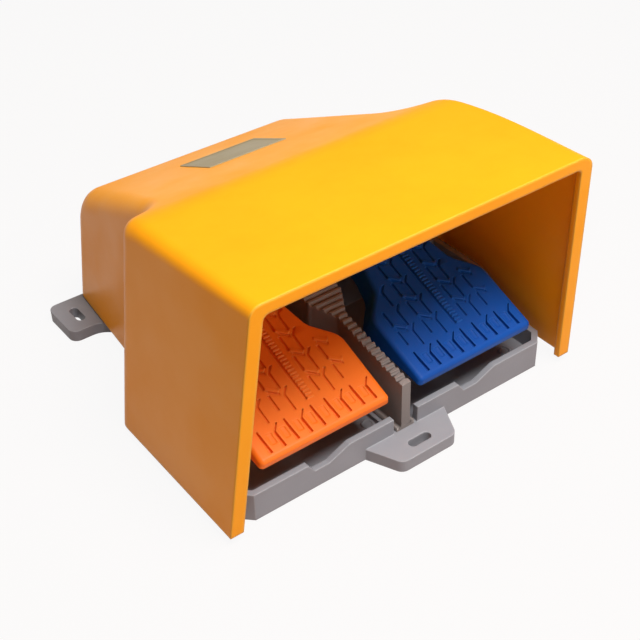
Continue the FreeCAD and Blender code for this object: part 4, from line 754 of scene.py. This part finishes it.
# ---------------------------------------------------------------- finishes
def make_finish(
    name, colour, shade, edge_highlight, roughness,
    metal=0.0, gloss=0.5, edge_highlight_share=0.5, radius=0.0006,
    fineness=900.0, depth=0.00004, dust=0.12,
):
    """A moulded, cast or turned surface.

    The colour drifts towards the shade at random, its edges are lightened as a
    painted highlight, and faces that look up hold a little dust.
    """
    material = bpy.data.materials.new(name)
    material.use_nodes = True
    tree = material.node_tree
    tree.nodes.clear()
    out = tree.nodes.new("ShaderNodeOutputMaterial")
    skin = tree.nodes.new("ShaderNodeBsdfPrincipled")
    tree.links.new(skin.outputs[0], out.inputs["Surface"])
    place = tree.nodes.new("ShaderNodeTexCoord")
    grain = placed_group(tree, grain_group, Fineness=fineness, Drift=GRAIN_DRIFT)
    edges = placed_group(tree, edge_group, Radius=radius)
    dusty = placed_group(tree, dust_group, Amount=dust)
    for node in (grain, dusty):
        tree.links.new(place.outputs["Object"], node.inputs["Vector"])

    tint = linear(*colour)
    # Drift and specks vary the colour at random; the edge mask lightens edges towards the
    # third colour, a painted highlight.
    for share, output, towards in (
        (GRAIN_DRIFT_SHARE, grain.outputs["Tone"], shade),
        (SPECK_SHARE, grain.outputs["Speck"], shade),
        (edge_highlight_share, edges.outputs["Edge"], edge_highlight),
    ):
        tint = blended(tree, maths(tree, "MULTIPLY", output, share), tint, linear(*towards))
    tint = blended(tree, dusty.outputs["Dust"], tint, linear(*DUST_COLOUR))
    tree.links.new(tint, skin.inputs["Base Color"])

    swing = maths(tree, "MULTIPLY", grain.outputs["Tone"], ROUGH_SWING)
    rough = maths(tree, "ADD", swing, roughness - ROUGH_SWING / 2)
    dulled = maths(tree, "MULTIPLY", dusty.outputs["Dust"], DUST_ROUGHNESS)
    rough = maths(tree, "ADD", rough, dulled, clamp=True)
    tree.links.new(rough, skin.inputs["Roughness"])

    bump = tree.nodes.new("ShaderNodeBump")
    bump.inputs["Strength"].default_value = BUMP_STRENGTH
    bump.inputs["Distance"].default_value = depth
    tree.links.new(grain.outputs["Height"], bump.inputs["Height"])
    tree.links.new(edges.outputs["Normal"], bump.inputs["Normal"])
    tree.links.new(bump.outputs[0], skin.inputs["Normal"])

    skin.inputs["Metallic"].default_value = metal
    skin.inputs["IOR"].default_value = PLASTIC_IOR
    skin.inputs["Specular IOR Level"].default_value = gloss
    return material


# The third colour of each finish is a lighter edge tone, a painted highlight along its
# edges.
hood_yellow = make_finish(
    "hood yellow", (254, 168, 14), (250, 157, 12), (255, 202, 86), roughness=0.4,
    radius=0.0024, depth=0.00003, dust=0.005, edge_highlight_share=0.6, gloss=0.17,
)
pedal_orange = make_finish(
    "pedal orange", (242, 118, 27), (234, 106, 22), (252, 164, 80), roughness=0.46,
    radius=0.0008, dust=0.01, edge_highlight_share=0.4, gloss=0.28,
)
pedal_blue = make_finish(
    "pedal blue", (8, 77, 164), (7, 68, 152), (46, 118, 200), roughness=0.46,
    radius=0.0008, dust=0.005, edge_highlight_share=0.4, gloss=0.2,
)
base_grey = make_finish(
    "base grey", (140, 141, 148), (130, 131, 137), (184, 185, 190), roughness=0.52,
    radius=0.0013, depth=0.00006, dust=0.15,
)
divider_grey = make_finish(
    "divider grey", (130, 122, 119), (116, 108, 105), (172, 164, 158), roughness=0.5,
    radius=0.0004, depth=0.00005,
)
plate_satin = make_finish(
    "satin plate", (172, 158, 122), (158, 144, 108), (206, 196, 168), roughness=0.45,
    metal=0.25, radius=0.0003, fineness=1500.0, dust=0.06,
)
turned_steel = make_finish(
    "turned steel", (176, 176, 178), (150, 150, 152), (214, 214, 216), roughness=0.3,
    metal=1.0, radius=0.0003, fineness=2200.0, depth=0.000015, dust=0.03,
)
zinc_screw = make_finish(
    "zinc screw", (190, 190, 186), (166, 164, 156), (222, 222, 220), roughness=0.35,
    metal=1.0, radius=0.0002, fineness=1800.0, depth=0.00002, dust=0.04,
)
dark_spring = make_finish(
    "spring wire", (112, 112, 116), (92, 90, 92), (160, 160, 164), roughness=0.35,
    metal=1.0, radius=0.0001, fineness=2500.0, depth=0.00001, dust=0.02,
)
black_rubber = make_finish(
    "black rubber", (34, 34, 35), (26, 26, 27), (64, 63, 62), roughness=0.75,
    radius=0.0004, fineness=1400.0, depth=0.00006,
)
block_black = make_finish(
    "switch body", (46, 47, 50), (38, 39, 42), (84, 85, 88), roughness=0.5,
    radius=0.0003, fineness=1200.0, dust=0.08,
)
cover_smoke = make_finish(
    "switch cover", (74, 76, 80), (62, 64, 68), (112, 114, 118), roughness=0.42,
    radius=0.0003, fineness=1200.0, dust=0.08,
)
plunger_red = make_finish(
    "plunger red", (178, 44, 34), (160, 36, 28), (208, 92, 80), roughness=0.38,
    radius=0.0002, fineness=1200.0, dust=0.03,
)
bush_white = make_finish(
    "bearing white", (214, 211, 202), (198, 194, 184), (236, 234, 228), roughness=0.45,
    radius=0.0002, fineness=1200.0, dust=0.05,
)
contact_brass = make_finish(
    "contact brass", (200, 168, 96), (178, 144, 76), (232, 208, 150), roughness=0.3,
    metal=1.0, radius=0.0002, fineness=2000.0, depth=0.000015, dust=0.02,
)
gland_grey = make_finish(
    "gland grey", (120, 122, 124), (106, 108, 110), (156, 158, 160), roughness=0.48,
    radius=0.0004, fineness=1100.0, dust=0.1,
)

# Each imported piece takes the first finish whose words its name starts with.
FINISHES = (
    ("base_tray", base_grey),
    ("pedal_divider", divider_grey),
    ("hood_screws", zinc_screw),
    ("hood", hood_yellow),
    ("name_plate", plate_satin),
    ("axle_clips", dark_spring),
    ("axle_", turned_steel),
    ("stop_bumpers", black_rubber),
    ("return_spring_", dark_spring),
    ("plunger_spring_", dark_spring),
    ("plunger_", plunger_red),
    ("switch_housing_", block_black),
    ("switch_cover_", cover_smoke),
    ("fixed_contacts_", contact_brass),
    ("contact_bridge_", contact_brass),
    ("terminal_screws", contact_brass),
    ("switch_screws", zinc_screw),
    ("cover_screws", zinc_screw),
    ("divider_screws", zinc_screw),
    ("gland_seal", black_rubber),
    ("gland_", gland_grey),
    ("pedal_bushes_", bush_white),
    ("pedal_left", pedal_orange),
    ("pedal_right", pedal_blue),
)


def dress_frame():
    """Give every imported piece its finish, by the start of its name."""
    for name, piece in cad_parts.items():
        chosen = next(skin for start, skin in FINISHES if name.startswith(start))
        if not piece.data.materials:
            piece.data.materials.append(chosen)
        for socket in piece.material_slots:
            socket.material = chosen


# ---------------------------------------------------------------- floor, light and camera
def plain_floor():
    """A pale floor that shows white to the camera and keeps the shadow."""
    select_none()
    bpy.ops.mesh.primitive_plane_add(size=FLOOR_SIZE, location=(0.0, 0.0, FLOOR_LEVEL))
    floor = bpy.context.object
    floor.name = "floor"
    material = bpy.data.materials.new("pale floor")
    material.use_nodes = True
    tree = material.node_tree
    tree.nodes.clear()
    out = tree.nodes.new("ShaderNodeOutputMaterial")
    matt = tree.nodes.new("ShaderNodeBsdfDiffuse")
    matt.inputs["Color"].default_value = FLOOR_TINT
    bright = tree.nodes.new("ShaderNodeEmission")
    bright.inputs["Color"].default_value = WHITE
    bright.inputs["Strength"].default_value = 1.0
    ray = tree.nodes.new("ShaderNodeLightPath")
    seen = maths(tree, "MAXIMUM", ray.outputs["Is Camera Ray"], ray.outputs["Is Glossy Ray"])
    seen = maths(tree, "MAXIMUM", seen, ray.outputs["Is Transmission Ray"])
    both = tree.nodes.new("ShaderNodeMixShader")
    tree.links.new(maths(tree, "MULTIPLY", seen, FLOOR_GLOW), both.inputs[0])
    tree.links.new(matt.outputs[0], both.inputs[1])
    tree.links.new(bright.outputs[0], both.inputs[2])
    tree.links.new(both.outputs[0], out.inputs["Surface"])
    floor.data.materials.append(material)


def pale_world():
    """Even warm light from all sides, white where the camera sees it."""
    world = bpy.data.worlds.new("pale world")
    bpy.context.scene.world = world
    world.use_nodes = True
    tree = world.node_tree
    tree.nodes.clear()
    out = tree.nodes.new("ShaderNodeOutputWorld")
    sky = tree.nodes.new("ShaderNodeBackground")
    ray = tree.nodes.new("ShaderNodeLightPath")
    seen = maths(
        tree, "MAXIMUM", ray.outputs["Is Camera Ray"], ray.outputs["Is Transmission Ray"]
    )
    tree.links.new(blended(tree, seen, WORLD_TINT, WHITE), sky.inputs["Color"])
    extra = maths(tree, "MULTIPLY", seen, 1.0 - WORLD_STRENGTH)
    strength = maths(tree, "ADD", extra, WORLD_STRENGTH)
    tree.links.new(strength, sky.inputs["Strength"])
    tree.links.new(sky.outputs[0], out.inputs["Surface"])


def soft_light(name, place, aim, width, power, colour=WHITE[:3]):
    """A round lamp that looks from its place to its aim."""
    lamp = bpy.data.lights.new(name, "AREA")
    lamp.shape = "DISK"
    lamp.size = width
    lamp.energy = power
    lamp.color = colour
    holder = placed_in_scene(name, lamp)
    holder.location = place
    holder.rotation_mode = "QUATERNION"
    looking = Vector(aim) - Vector(place)
    holder.rotation_quaternion = looking.to_track_quat("-Z", "Y")


def studio_camera():
    """The camera at the photograph's place and angle."""
    turn, down, roll = (math.radians(a) for a in (CAMERA_TURN, CAMERA_DOWN, CAMERA_ROLL))
    forward = Vector(
        (-math.sin(turn) * math.cos(down), math.cos(turn) * math.cos(down), -math.sin(down))
    )
    right = Vector((math.cos(turn), math.sin(turn), 0.0))
    up = right.cross(forward)
    side = right * math.cos(roll) + up * math.sin(roll)
    top = up * math.cos(roll) - right * math.sin(roll)
    lens = bpy.data.cameras.new("camera")
    lens.sensor_width = CAMERA_SENSOR
    lens.lens = CAMERA_LENS
    lens.clip_start = CAMERA_NEAR
    lens.clip_end = CAMERA_FAR
    camera = placed_in_scene("camera", lens)
    turned = Matrix((side, top, -forward)).transposed().to_4x4()
    camera.matrix_world = Matrix.Translation(CAMERA_PLACE) @ turned
    bpy.context.scene.camera = camera


# ---------------------------------------------------------------- the whole scene
dress_frame()

cutter = tread_cutter()
bars = tread_bars()
for side, word, slot, skin in (
    (-1, "left", "orange_plastic", pedal_orange),
    (1, "right", "blue_plastic", pedal_blue),
):
    pedal_with_tread(side, word, cutter, bars, slot, skin)
for helper in (cutter, bars):
    bpy.data.objects.remove(helper)
scalloped_divider(divider_grey)
bordered_plate(plate_satin)
for side, word in ((-1, "left"), (1, "right")):
    return_spring(side, word, dark_spring)
    plunger_spring(word, dark_spring)

plain_floor()
pale_world()
soft_light("key", place=(0.05, -0.45, 1.1), aim=(0.0, 0.0, 0.05), width=0.6, power=17.0)
soft_light(
    "fill", place=(0.25, -1.2, 0.40), aim=(0.0, 0.0, 0.06), width=0.5, power=2.6,
    colour=(1.0, 0.90, 0.82),
)
studio_camera()
bpy.context.scene.view_settings.view_transform = "Standard"
